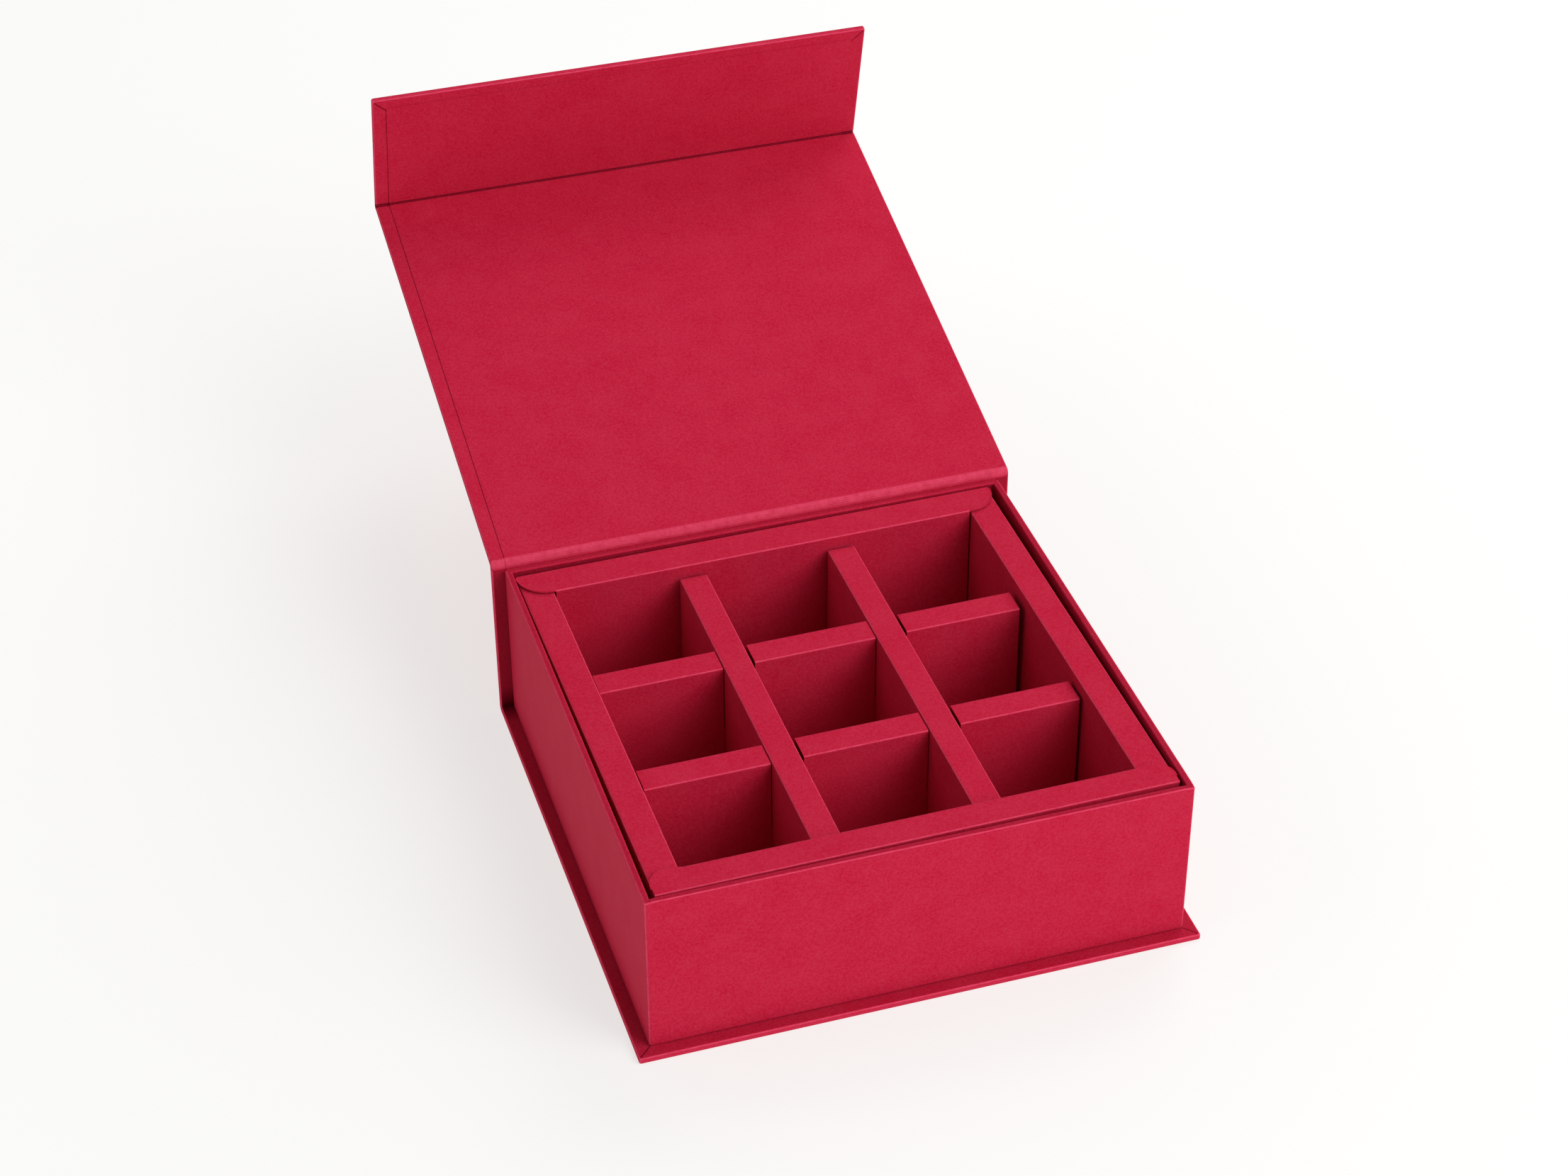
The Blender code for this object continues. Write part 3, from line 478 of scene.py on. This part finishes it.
def wrap_skin(start, end, turned=None):
    """The case's paper between two places on the chain. turned is the place where it is turned in too."""
    bm = bmesh.new()
    profile = edge_profile()
    places = chain.rows(start, end)
    columns = [2 * step / PANEL_COLUMNS - 1 for step in range(PANEL_COLUMNS + 1)]
    face_x = CASE_X - FACE_INSET
    if turned is None:
        for side in (-1, 1):
            rows = [[chain.place(side * (CASE_X - inset), s, height) for inset, height in profile]
                    for s in places]
            grid(bm, rows, flip=side < 0)
        grid(bm, [[chain.place(v * face_x, s, 0) for v in columns] for s in places])
        return bm
    inner_way = 1 if turned == end else -1
    distances = end_distances(places, turned)
    beside_mitre = [-1 + width / CASE_X for width in MITRE_COLUMNS]
    end_columns = beside_mitre + columns[1:-1] + [-v for v in beside_mitre[::-1]]

    def at(x, distance, height, lift):
        """The point at x and a distance from the turned end, lifted off the turned-in side."""
        s = turned - inner_way * distance
        lifted = chain.place(x, s, 1 + lift / COVERED) - chain.place(x, s, 1)
        return chain.place(x, s, height) + lifted

    # Along one side, round both corners of the turned end, and back along the other side
    rings = []
    for inset, height in profile:
        mitre = max(inset, CORNER_RADIUS)
        spread = min(max((inset - CORNER_RADIUS) / SUPPORT, 0), 1) * MITRE_STEP if height == 1 else 0
        radius = max(CORNER_RADIUS - inset, 0)
        ring = [at(-(CASE_X - inset), sheared(d, inset), height, 0) for d in distances]
        for side in (-1, 1):
            arc = []
            for step, angle in enumerate(quarter_turn(EDGE_STEPS)):
                x = side * (CASE_X - mitre + radius * math.cos(angle))
                lift = spread * step / EDGE_STEPS
                arc.append(at(x, mitre - radius * math.sin(angle), height, lift))
            if side < 0:
                ring += arc[1:]
                reach = CASE_X - mitre
                for v in end_columns:
                    fade = max(0.0, 1 - (1 - abs(v)) * reach / MITRE_FADE)
                    ring.append(at(v * reach, inset, height, spread * fade))
            else:
                ring += arc[::-1][:-1]
        ring += [at(CASE_X - inset, sheared(d, inset), height, 0) for d in distances[::-1]]
        rings.append(ring)
    grid(bm, list(zip(*rings)), flip=inner_way > 0)
    across = [-1] + end_columns + [1]
    face = [[at(v * face_x, sheared(d, FACE_INSET), 0, 0) for v in across] for d in distances]
    grid(bm, face, flip=inner_way < 0)
    return bm


def liner_skin(start, end, margin_at_end=0.0):
    """The liner between two places on the chain."""
    bm = bmesh.new()
    half = CASE_X - LINER_MARGIN
    places = chain.rows(start, end - margin_at_end)
    xs = [half * (2 * step / PANEL_COLUMNS - 1) for step in range(PANEL_COLUMNS + 1)]
    rows = [[chain.place(x, s, 1, "inner", "liner") for x in xs] for s in places]
    grid(bm, rows, flip=True)
    return bm


# Materials

class Shader:
    """A small helper that adds and links the nodes of one material."""

    def __init__(self, name):
        self.material = bpy.data.materials.new(name)
        self.material.use_nodes = True
        self.nodes = self.material.node_tree.nodes
        self.links = self.material.node_tree.links
        self.surface = self.nodes["Principled BSDF"]

    def fill(self, node, inputs):
        """Sets a node's inputs, or links those that are given as sockets."""
        for key, value in inputs.items():
            if isinstance(value, bpy.types.NodeSocket):
                self.links.new(value, node.inputs[key])
            else:
                node.inputs[key].default_value = value

    def add(self, kind, inputs=None, **settings):
        node = self.nodes.new(kind)
        for key, value in settings.items():
            setattr(node, key, value)
        self.fill(node, inputs or {})
        return node

    def attribute(self, name):
        return self.add("ShaderNodeAttribute", attribute_name=name)

    def noise(self, place, scale, detail, roughness, distortion=0.0):
        values = {"Vector": place, "Scale": scale, "Detail": detail, "Roughness": roughness,
                  "Distortion": distortion}
        return self.add("ShaderNodeTexNoise", values).outputs["Fac"]

    def ramp(self, value, low, high, to_low=0.0, to_high=1.0):
        values = {"Value": value, "From Min": low, "From Max": high, "To Min": to_low, "To Max": to_high}
        return self.add("ShaderNodeMapRange", values).outputs["Result"]

    def math(self, operation, first, second=0.0):
        return self.add("ShaderNodeMath", {0: first, 1: second}, operation=operation).outputs[0]

    def mix(self, share, first, second):
        """A colour between two others; a colour's sockets are numbers 6 and 7 of a Mix node."""
        return self.add("ShaderNodeMix", {0: share, 6: first, 7: second}, data_type="RGBA").outputs[2]

    def bump(self, height, distance, strength=1.0):
        values = {"Height": height, "Distance": distance, "Strength": strength}
        return self.add("ShaderNodeBump", values).outputs[0]


def fibre_lines(shader, place, scale, breaks):
    """Short curly fibres: the thin lines along which a noise is at its middle value, broken by another."""
    field = shader.noise(place, scale, 2, 0.5, FIBRE_CURL)
    away = shader.math("ABSOLUTE", shader.math("SUBTRACT", field, 0.5))
    lines = shader.ramp(away, 0.0, FIBRE_HALF_WIDTH, 1.0, 0.0)
    return shader.math("MULTIPLY", lines, shader.ramp(shader.noise(place, breaks, 1, 0.5), *FIBRE_BREAK))


def paper_material(name, dark, light, worn_and_highlight_colour, joint_and_shade_colour):
    """Uncoated dyed paper: clouded, grained, with curly fibres, paler where rubbed and under painted
    highlights, and dark along joint lines and under painted shade.
    """
    shader = Shader(name)
    place = shader.attribute("rest").outputs["Vector"]
    clouds = shader.noise(place, CLOUD_SCALE, 3, 0.55)
    grain = shader.noise(place, GRAIN_SCALE, 3, 0.6, 0.4)
    turn = {"Vector": place, "Axis": FIBRE_TURN_AXIS, "Angle": FIBRE_TURN}
    turned = shader.add("ShaderNodeVectorRotate", turn).outputs[0]
    fibres = shader.math("MAXIMUM", fibre_lines(shader, turned, *TURNED_FIBRE_SCALES),
                         fibre_lines(shader, place, *FIBRE_SCALES))
    cloudy = shader.ramp(clouds, 0.3, 0.7, 0.0, CLOUD_TONE)
    grainy = shader.ramp(grain, 0.38, 0.62, 0.0, GRAIN_TONE)
    tone = shader.math("ADD", cloudy, grainy)
    tone = shader.math("ADD", tone, shader.math("MULTIPLY", fibres, FIBRE_TONE))
    body = shader.mix(tone, (*dark, 1), (*light, 1))
    wear_and_painted_light = shader.attribute("wear_and_painted_light").outputs["Fac"]
    patchy = shader.ramp(shader.noise(place, PATCH_SCALE, 3, 0.6), 0.3, 0.65, LEAST_PATCH, 1.0)
    # Paler for wear and for painted highlights
    wear_and_highlight = shader.math("MULTIPLY", shader.ramp(wear_and_painted_light, WEAR_STARTS, 1.0), patchy)
    body = shader.mix(shader.math("MULTIPLY", wear_and_highlight, MOST_WEAR), body, (*worn_and_highlight_colour, 1))
    # Darker along the mitres' joint lines and under painted shade
    joint_and_shade = shader.ramp(wear_and_painted_light, DARKEST, 0.0, 1.0, 0.0)
    relief = shader.math("ADD", fibres, grain)
    shader.fill(shader.surface, {
        "Base Color": shader.mix(joint_and_shade, body, (*joint_and_shade_colour, 1)),
        "Roughness": shader.ramp(grain, 0.3, 0.7, *PAPER_ROUGHNESS),
        "Normal": shader.bump(relief, PAPER_RELIEF, PAPER_RELIEF_STRENGTH),
        "Specular IOR Level": 0.03,
        "Sheen Weight": 0.006,
        "Sheen Roughness": 0.5,
        "Sheen Tint": (1.0, 0.75, 0.78, 1)})
    return shader.material


def board_material():
    """Grey recycled board, hidden inside the papers."""
    shader = Shader("greyboard")
    place = shader.add("ShaderNodeTexCoord").outputs["Object"]
    specks = shader.noise(place, 700, 4, 0.7)
    shader.fill(shader.surface, {
        "Base Color": shader.mix(shader.ramp(specks, 0.3, 0.7), GREYBOARD_DARK, GREYBOARD_LIGHT),
        "Normal": shader.bump(specks, BOARD_RELIEF),
        "Roughness": 0.9})
    return shader.material


def steel_material():
    """Plated steel of the hidden magnets and keepers."""
    shader = Shader("magnet_steel")
    place = shader.add("ShaderNodeTexCoord").outputs["Object"]
    streaks = shader.noise(place, 1200, 3, 0.6)
    shader.fill(shader.surface, {
        "Roughness": shader.ramp(streaks, 0.3, 0.7, 0.28, 0.42),
        "Base Color": shader.mix(streaks, STEEL_DARK, STEEL_LIGHT),
        "Metallic": 1.0})
    return shader.material


PAPER_MATERIAL = paper_material("crimson_paper", *CRIMSONS)
CARD_MATERIAL = paper_material("crimson_card", *CRIMSONS)
BOARD_MATERIAL = board_material()
STEEL_MATERIAL = steel_material()


# The case

def wrap_mark(place):
    """Marks of the turned-in wrap: dark joint lines along the mitres, painted shade in the fold at the
    spine's foot, a painted shadow along the liner's left edge, and a little painted shade on the base's
    ledge and on the spine beside the tray.
    """
    inset = CASE_X - abs(place.x)
    if inset < EDGE_RADIUS or place.y < CASE_FRONT_Y + EDGE_RADIUS:
        return None
    if place.y < TRAY_Y:
        if abs(place.z - COVERED) > MITRE_HEIGHT:
            return None
        on_mitre = abs(inset - (place.y - CASE_FRONT_Y)) < MITRE_STEP
        # Dark joint lines on the mitres, and painted shade on the rest of the ledge round the tray
        return DARKEST if on_mitre else LEDGE_SHADE
    at_foot = math.hypot(place.y - chain.foot[0], place.z - chain.foot[1]) < FOOT_LINE
    # Painted shade on the spine's sides beside the tray, below the rim
    if place.y < chain.foot[0] + PAPER and place.z < RIM and not at_foot:
        return SPINE_SHADE
    end = chain.knots[4] - np.array(place[1:])
    from_end = float(end @ directions(chain.rises[3])[0])
    in_flap = float(end @ directions(chain.rises[3])[1]) < 0
    on_mitre = in_flap and from_end > EDGE_RADIUS and abs(inset - from_end) < MITRE_STEP
    # Painted shade in the fold at the spine's foot, and dark joint lines on the flap's mitres
    if at_foot or on_mitre:
        return DARKEST
    # A painted shadow along the liner's left edge only, the side away from the light
    return LINER_LINE_SHADE if place.x < 0 and abs(inset - LINER_MARGIN) < PAPER / 2 else None


def valley_mark(place):
    """Painted shade where the paper goes down into the fold between lid and flap."""
    along, inward = directions((chain.rises[2] + chain.rises[3]) / 2)
    offset = np.array(place[1:]) - FLAP_AXIS
    return VALLEY_SHADE if offset @ inward > 0 and abs(offset @ along) < FLAP_VALLEY_HALF else None


def band_mark(place):
    """Little rubbing, and no painted highlight, on the outer side of the lid's hinge."""
    inward = directions(chain.rises[1])[1] + directions(chain.rises[2])[1]
    offset = np.array(place[1:]) - chain.knots[2]
    return HINGE_OUTER_WEAR if offset @ inward < 0 else None


def bend_line(band, corner):
    """Where a hinge's bend starts and ends, along the line halfway between its panels.

    It starts where every layer of the paper has left the one panel, and ends before any reaches the other.
    """
    before = directions(chain.rises[corner - 1])[0]
    after = directions(chain.rises[corner])[0]
    along = (before + after) / np.linalg.norm(before + after)
    reaches = []
    for s in band:
        offsets = [np.array(chain.place(0, s, height)[1:]) - chain.knots[corner] for height in (0, 1)]
        reaches.append([float(along @ offset) for offset in offsets])
    return [(0, *(chain.knots[corner] + along * reach)) for reach in (max(reaches[0]), min(reaches[1]))]


def build_case():
    wraps = [("base_spine_paper", S_FRONT, S_LID_BAND[0], S_FRONT, "base", ("base_wrap", "spine_wrap")),
             ("lid_paper", S_LID_BAND[1], S_FLAP_BAND[0], None, "lid", ("lid_wrap",)),
             ("flap_paper", S_FLAP_BAND[1], S_END, S_END, "flap", ("flap_wrap",))]
    for name, start, end, turned, body, nodes in wraps:
        skin = wrap_skin(start, end, turned)
        piece = sheet(name, skin, PAPER, PAPER_MATERIAL, mark=wrap_mark)
        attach(piece, body)
        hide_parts(*nodes)
    liners = [("spine_liner_paper", S_SPINE_FOOT, S_LID_BAND[0], 0.0, "base", "spine_liner"),
              ("lid_liner_paper", S_LID_BAND[1], S_FLAP_BAND[0], 0.0, "lid", "lid_liner"),
              ("flap_liner_paper", S_FLAP_BAND[1], S_END, LINER_FLAP_MARGIN, "flap", "flap_liner")]
    for name, start, end, margin, body, node in liners:
        piece = sheet(name, liner_skin(start, end, margin), PAPER, PAPER_MATERIAL)
        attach(piece, body)
        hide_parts(node)
    # The lid's hinge is paler all over its inner side: wear and a painted highlight of the bulging band
    hinges = [("lid_hinge", S_LID_BAND, 2, "base", "lid", HINGE_WEAR_AND_HIGHLIGHT, band_mark),
              ("flap_hinge", S_FLAP_BAND, 3, "lid", "flap", 0.0, valley_mark)]
    for name, band, corner, fixed, moving, wear_and_highlight, mark in hinges:
        start, end = bend_line(band, corner)
        wrap = sheet(f"{name}_paper", wrap_skin(*band), PAPER, PAPER_MATERIAL, wear_and_highlight, mark)
        liner = sheet(f"{name}_liner_paper", liner_skin(*band), PAPER, PAPER_MATERIAL, wear_and_highlight,
                      mark)
        for piece, node in ((wrap, f"{name}_wrap"), (liner, f"{name}_liner")):
            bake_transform(piece)
            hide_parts(node)


# The tray

def tray_ring(inset, z, droop):
    """Points round the tray at one inset and height, starting at the front right corner.

    droop is the share of RIM_DROOP by which the corners are lower.
    """
    radius = max(TRAY_CORNER_RADIUS - inset, TRAY_INNER_CORNER_RADIUS)
    half_x, half_y = TRAY_X - inset - radius, TRAY_Y - inset - radius
    points = []
    corners = ((1, -1, -90), (1, 1, 0), (-1, 1, 90), (-1, -1, 180))
    shares = [step / TRAY_STATIONS for step in range(1, TRAY_STATIONS)]
    droop_share = RIM_DROOP_REACH / (2 * TRAY_X)
    shares = [droop_share] + shares + [1 - droop_share]
    for (side_x, side_y, start), (next_x, next_y, _) in zip(corners, corners[1:] + corners[:1]):
        for step in range(EDGE_STEPS + 1):
            angle = math.radians(start + 90 * step / EDGE_STEPS)
            x = side_x * half_x + radius * math.cos(angle)
            y = side_y * half_y + radius * math.sin(angle)
            points.append((x, y, z - droop * RIM_DROOP))
        leave = Vector(points[-1][:2])
        angle = math.radians(start + 90)
        arrive = Vector((next_x * half_x + radius * math.cos(angle),
                         next_y * half_y + radius * math.sin(angle)))
        for share in shares:
            place = leave.lerp(arrive, share)
            points.append((place.x, place.y, z))
    return points + points[:1]


def tray_mark(place):
    """Painted shade on top of the rim, between its folds, and down inside the walls, in the gap beside the
    insert.
    """
    inset = min(TRAY_X - abs(place.x), TRAY_Y - abs(place.y))
    if inset < RIM_OUTER_RADIUS + RIM_SHADE_INSET / 2 or place.z < TRAY_FLOOR:
        return None
    if place.z < RIM - RIM_INNER_RADIUS:
        return INNER_SHADE
    return RIM_SHADE if inset < COVERED - RIM_INNER_RADIUS - RIM_SHADE_INSET / 2 else RIM_FOLD_SHADE


def build_tray():
    """The tray's paper, swept round the walls: from under the floor, up, over the rim and down inside."""
    rings = [(TRAY_TURN_UNDER, TRAY_BOTTOM, 0), (TRAY_FOOT_RADIUS + SUPPORT, TRAY_BOTTOM, 0)]
    for angle in quarter_turn(EDGE_STEPS):
        rings.append((TRAY_FOOT_RADIUS * (1 - math.sin(angle)),
                      TRAY_BOTTOM + TRAY_FOOT_RADIUS * (1 - math.cos(angle)), 0))
    rings.append((0, TRAY_BOTTOM + TRAY_FOOT_RADIUS + SUPPORT, 0))
    rings += [(0, TRAY_BOTTOM + (RIM - TRAY_BOTTOM) * share, 0) for share in WALL_ROWS]
    rings.append((0, RIM - RIM_OUTER_RADIUS - RIM_DROOP_REACH, 0))
    rings.append((0, RIM - RIM_OUTER_RADIUS - SUPPORT, 1))
    for angle in quarter_turn(EDGE_STEPS):
        rings.append((RIM_OUTER_RADIUS * (1 - math.cos(angle)),
                      RIM - RIM_OUTER_RADIUS * (1 - math.sin(angle)), 1))
    # Rows that bound the painted shade on top of the rim
    rings.append((RIM_OUTER_RADIUS + RIM_SHADE_INSET, RIM, 1))
    rings.append((COVERED - RIM_INNER_RADIUS - RIM_SHADE_INSET, RIM, 1))
    for angle in quarter_turn(EDGE_STEPS):
        rings.append((COVERED - RIM_INNER_RADIUS * (1 - math.sin(angle)),
                      RIM - RIM_INNER_RADIUS * (1 - math.cos(angle)), 1))
    rings.append((COVERED, RIM - RIM_INNER_RADIUS - SUPPORT, 1))
    rings.append((COVERED, RIM - RIM_INNER_RADIUS - RIM_DROOP_REACH, 0))
    rings += [(COVERED, TRAY_FLOOR + (RIM - TRAY_FLOOR) * share, 0) for share in INNER_WALL_ROWS]
    bm = bmesh.new()
    grid(bm, [tray_ring(*ring) for ring in rings], flip=True)
    piece = sheet("tray_paper", bm, PAPER, PAPER_MATERIAL, mark=tray_mark)
    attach(piece, "base")
    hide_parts("tray_wrap")


def build_tray_boards():
    """The walls' boards, with their corners cut back so that they stay inside the rounded paper."""
    for wall in ("front", "rear", "left", "right"):
        name = f"tray_{wall}_board"
        mesh = frame["nodes"][name].data.copy()
        top = max(vert.co.z for vert in mesh.vertices)
        for vert in mesh.vertices:
            if vert.co.z > top - BOARD_DROP:
                vert.co.z -= BOARD_DROP
            if abs(vert.co.x) > TRAY_X - COVERED / 4 and abs(vert.co.y) > TRAY_Y - COVERED / 2:
                vert.co.x -= math.copysign(BOARD_CUT, vert.co.x)
                vert.co.y -= math.copysign(BOARD_CUT, vert.co.y)
        mesh.materials.clear()
        mesh.materials.append(BOARD_MATERIAL)
        piece = bpy.data.objects.new(f"{name}_cut", mesh)
        bpy.context.collection.objects.link(piece)
        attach(piece, "base")
        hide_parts(name)


# The insert

def fold_arc(centre, radius, start, end):
    """Points of an arc about a centre, in (across, up), from one angle in degrees to another."""
    steps = CARD_FOLD_STEPS
    angles = [math.radians(start + (end - start) * step / steps) for step in range(steps + 1)]
    return [(centre[0] + radius * math.cos(a), centre[1] + radius * math.sin(a)) for a in angles]


def channel_profile(half, top, lap):
    """An inverted U across a divider: up one wall, over the top and down the other."""
    r = CARD_FOLD_RADIUS
    rise = [(-half, z) for z in (DIVIDER_BOTTOM, lap, top - r - SUPPORT)]
    rise += fold_arc((-half + r, top - r), r, 180, 90) + [(-half + r + SUPPORT, top)]
    return rise + [(-across, up) for across, up in rise[::-1]]


def insert_piece(name, bm):
    """Turns a skin of the insert, in its own frame, into a card piece in its place in the tray."""
    matrix = Matrix.Translation(INSERT_PLACE) @ Matrix.Rotation(math.radians(INSERT_TURN), 4, "Z")
    bmesh.ops.transform(bm, matrix=matrix, verts=bm.verts)
    piece = sheet(f"{name}_card", bm, CARD, CARD_MATERIAL)
    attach(piece, "insert")
    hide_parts(name)


def channel(start, end, notches, half, top, notched_above, to_point, lap):
    """A divider along its own length, notched above or below the height lap.

    to_point turns (along, across, up) into a point.
    """
    bm = bmesh.new()
    marks = [start] + [edge for notch in notches for edge in notch] + [end]
    profile = channel_profile(half, top, lap)
    left, upper, right = profile[:2], profile[1:-1], profile[-2:]
    for number, (low, high) in enumerate(zip(marks, marks[1:])):
        stations = stations_between([low, high])
        parts = [left, upper, right]
        if number % 2 == 1:
            parts = [left, right] if notched_above else [upper]
        for part in parts:
            rows = [[to_point(along, across, up) for across, up in part] for along in stations]
            grid(bm, rows)
    return bm


def build_dividers():
    for number, middle in enumerate((-LONG_X, LONG_X), 1):
        reach = CROSS_HALF + NOTCH_UNDER
        notches = [(y - reach, y + reach) for y in CROSS_Y]
        bm = channel(*LONG_ENDS, notches, LONG_HALF, LONG_TOP, False,
                     lambda along, across, up: (middle - across, along, up), LAP_Z + GAP / 2)
        insert_piece(f"long_divider_{number}", bm)
    for number, (middle, plays) in enumerate(zip(CROSS_Y, CROSS_PLAYS), 1):
        notches = [(x - LONG_HALF - NOTCH_LEFT, x + LONG_HALF + NOTCH_RIGHT) for x in (-LONG_X, LONG_X)]
        bm = channel(-WELL_X + plays[0], WELL_X - plays[1], notches, CROSS_HALF, CROSS_TOP, True,
                     lambda along, across, up: (along, middle + across, up), LAP_Z - GAP / 2)
        insert_piece(f"cross_divider_{number}", bm)


def rail_profile(outer, inner, top):
    """Flange, top and inner wall of a rail, as (across, up), with across growing from outer to inner."""
    r = CARD_FOLD_RADIUS
    way = math.copysign(1, inner - outer)
    rise = [(0, 0), (0, top / 2), (0, top - r - SUPPORT)] + fold_arc((r, top - r), r, 180, 90)
    rise.append((r + SUPPORT, top))
    width = abs(inner - outer)
    fall = [(width - across, up) for across, up in rise[::-1]]
    return [(outer + way * across, up) for across, up in rise + fall]


def flat_skin(near, far, height):
    """A level sheet's upper face between two corners."""
    bm = bmesh.new()
    xs = stations_between([near[0], far[0]])
    ys = stations_between([near[1], far[1]])
    grid(bm, [[(x, y, height) for y in ys] for x in xs])
    return bm


def build_side_rail(name, side):
    """A side rail, which stops short of the end rails' flanges and lies under their tabs."""
    bm = bmesh.new()
    end = RAIL_Y - CARD - GAP
    profile = rail_profile(side * RAIL_X, side * WELL_X, SIDE_RAIL_TOP)
    rows = [[(across, y, up) for across, up in profile] for y in stations_between([-end, end])]
    grid(bm, rows, flip=side < 0)
    insert_piece(name, bm)


def build_end_rail(name, side, inner_y, tab_round):
    """The front or rear rail, with a tab at each end whose free corner is rounded by (along, across)."""
    bm = bmesh.new()
    outer_y = side * RAIL_Y
    inner_x = WELL_X - CORNER_SLIT
    profile = rail_profile(outer_y, inner_y, RAIL_TOP)
    rows = [[(x, across, up) for across, up in profile] for x in stations_between([-inner_x, inner_x])]
    grid(bm, rows, flip=side > 0)
    way = math.copysign(1, inner_y - outer_y)
    straight = RAIL_X - tab_round[0]
    stations = [(inner_x + (straight - inner_x) * step / TAB_STRAIGHT_STEPS, inner_y)
                for step in range(TAB_STRAIGHT_STEPS + 1)]
    stations += [(straight + tab_round[0] * math.sin(angle),
                  inner_y - way * tab_round[1] * (1 - math.cos(angle)))
                 for angle in quarter_turn(TAB_ROUND_STEPS)[1:]]
    flange = profile[:len(profile) // 2]
    top_start = flange[-1][0]
    shares = [(across - top_start) / (inner_y - top_start) for across, _ in profile[len(flange):][:2]]
    shares += TAB_EDGE_SHARES
    last = len(stations) - 1
    for tab in (-1, 1):
        rows = []
        for number, (x, edge) in enumerate(stations):
            lift = TAB_LIFT * min(number / TAB_LIFT_STATIONS, (last - number) / TAB_FALL_STATIONS, 1)
            top = [(top_start + (edge - top_start) * share, RAIL_TOP + lift * share ** TAB_LIFT_POWER)
                   for share in shares]
            rows.append([(tab * x, across, up) for across, up in flange + top])
        grid(bm, rows, flip=(side > 0) == (tab > 0))
    insert_piece(name, bm)


def build_insert():
    build_side_rail("insert_left_rail", -1)
    build_side_rail("insert_right_rail", 1)
    build_end_rail("insert_front_rail", -1, WELL_FRONT_Y, FRONT_TAB_ROUND)
    build_end_rail("insert_rear_rail", 1, WELL_REAR_Y, REAR_TAB_ROUND)
    build_dividers()
    floor = flat_skin((-WELL_X + GAP, WELL_FRONT_Y + GAP), (WELL_X - GAP, WELL_REAR_Y - GAP), CARD)
    insert_piece("insert_floor", floor)


def build_tray_lining():
    """The paper on the tray's floor, under the insert."""
    half_x, half_y = (side - COVERED - GAP for side in (TRAY_X, TRAY_Y))
    skin = flat_skin((-half_x, -half_y), (half_x, half_y), TRAY_FLOOR)
    piece = sheet("tray_floor_paper", skin, PAPER, PAPER_MATERIAL)
    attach(piece, "base")
    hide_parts("tray_floor_lining")


def dress_cad_nodes():
    """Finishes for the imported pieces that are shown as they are, which the papers mostly hide."""
    for name, node in frame["nodes"].items():
        material = PAPER_MATERIAL
        if name.endswith("_board"):
            material = BOARD_MATERIAL
        elif name.startswith(("keeper", "flap_magnet")):
            material = STEEL_MATERIAL
        for material_slot in node.material_slots:
            material_slot.link = "OBJECT"
            material_slot.material = material


# Floor, light and camera

def build_floor():
    bm = bmesh.new()
    bmesh.ops.create_grid(bm, x_segments=FLOOR_SQUARES, y_segments=FLOOR_SQUARES, size=FLOOR_HALF)
    mesh = bpy.data.meshes.new("floor")
    bm.to_mesh(mesh)
    bm.free()
    shader = Shader("pale_floor")
    place = shader.add("ShaderNodeTexCoord").outputs["Object"]
    away = shader.add("ShaderNodeVectorMath", {0: place}, operation="LENGTH").outputs["Value"]
    # The floor glows less near the box: painted shade round it
    shader.fill(shader.surface, {
        "Emission Strength": shader.ramp(away, *FLOOR_SHADE_REACH, *FLOOR_GLOW),
        "Emission Color": (1.0, 1.0, 0.985, 1),
        "Base Color": (0.3, 0.3, 0.297, 1),
        "Roughness": 0.9,
        "Specular IOR Level": 0.1})
    mesh.materials.append(shader.material)
    floor = bpy.data.objects.new("floor", mesh)
    bpy.context.collection.objects.link(floor)
    floor.location.z = -FLOOR_DROP


def build_light():
    world = bpy.data.worlds.new("studio")
    bpy.context.scene.world = world
    world.use_nodes = True
    background = world.node_tree.nodes["Background"]
    background.inputs["Color"].default_value = (1, 1, 1, 1)
    background.inputs["Strength"].default_value = WORLD_STRENGTH
    aim = Vector(LIGHT_AIM)
    for name, azimuth, elevation, power in SOFTBOXES:
        turn, rise = math.radians(azimuth), math.radians(elevation)
        away = Vector((math.sin(turn) * math.cos(rise), -math.cos(turn) * math.cos(rise), math.sin(rise)))
        place = aim + away * SOFTBOX_DISTANCE
        data = bpy.data.lights.new(name, "AREA")
        data.size = SOFTBOX_SIDE
        data.energy = power
        light = bpy.data.objects.new(name, data)
        bpy.context.collection.objects.link(light)
        light.location = place
        light.rotation_mode = "QUATERNION"
        light.rotation_quaternion = (aim - place).to_track_quat("-Z", "Y")
    bpy.context.scene.view_settings.view_transform = "Standard"
    bpy.context.scene.view_settings.look = "None"


def build_camera():
    data = bpy.data.cameras.new("camera")
    data.sensor_fit = "HORIZONTAL"
    data.sensor_width = SENSOR_WIDTH
    data.lens = SENSOR_WIDTH * FOCAL_PIXELS / PHOTO_WIDTH
    data.clip_start, data.clip_end = CLIP_RANGE
    camera = bpy.data.objects.new("camera", data)
    bpy.context.collection.objects.link(camera)
    forward = Vector(CAMERA_FORWARD).normalized()
    right = Vector(CAMERA_RIGHT)
    right = (right - forward * right.dot(forward)).normalized()
    up = right.cross(forward)
    turn = Matrix((right, up, -forward)).transposed()
    camera.matrix_world = Matrix.Translation(CAMERA_PLACE) @ turn.to_4x4()
    bpy.context.scene.camera = camera


build_camera()
build_case()
build_tray()
build_tray_boards()
build_tray_lining()
build_insert()
dress_cad_nodes()
build_floor()
build_light()
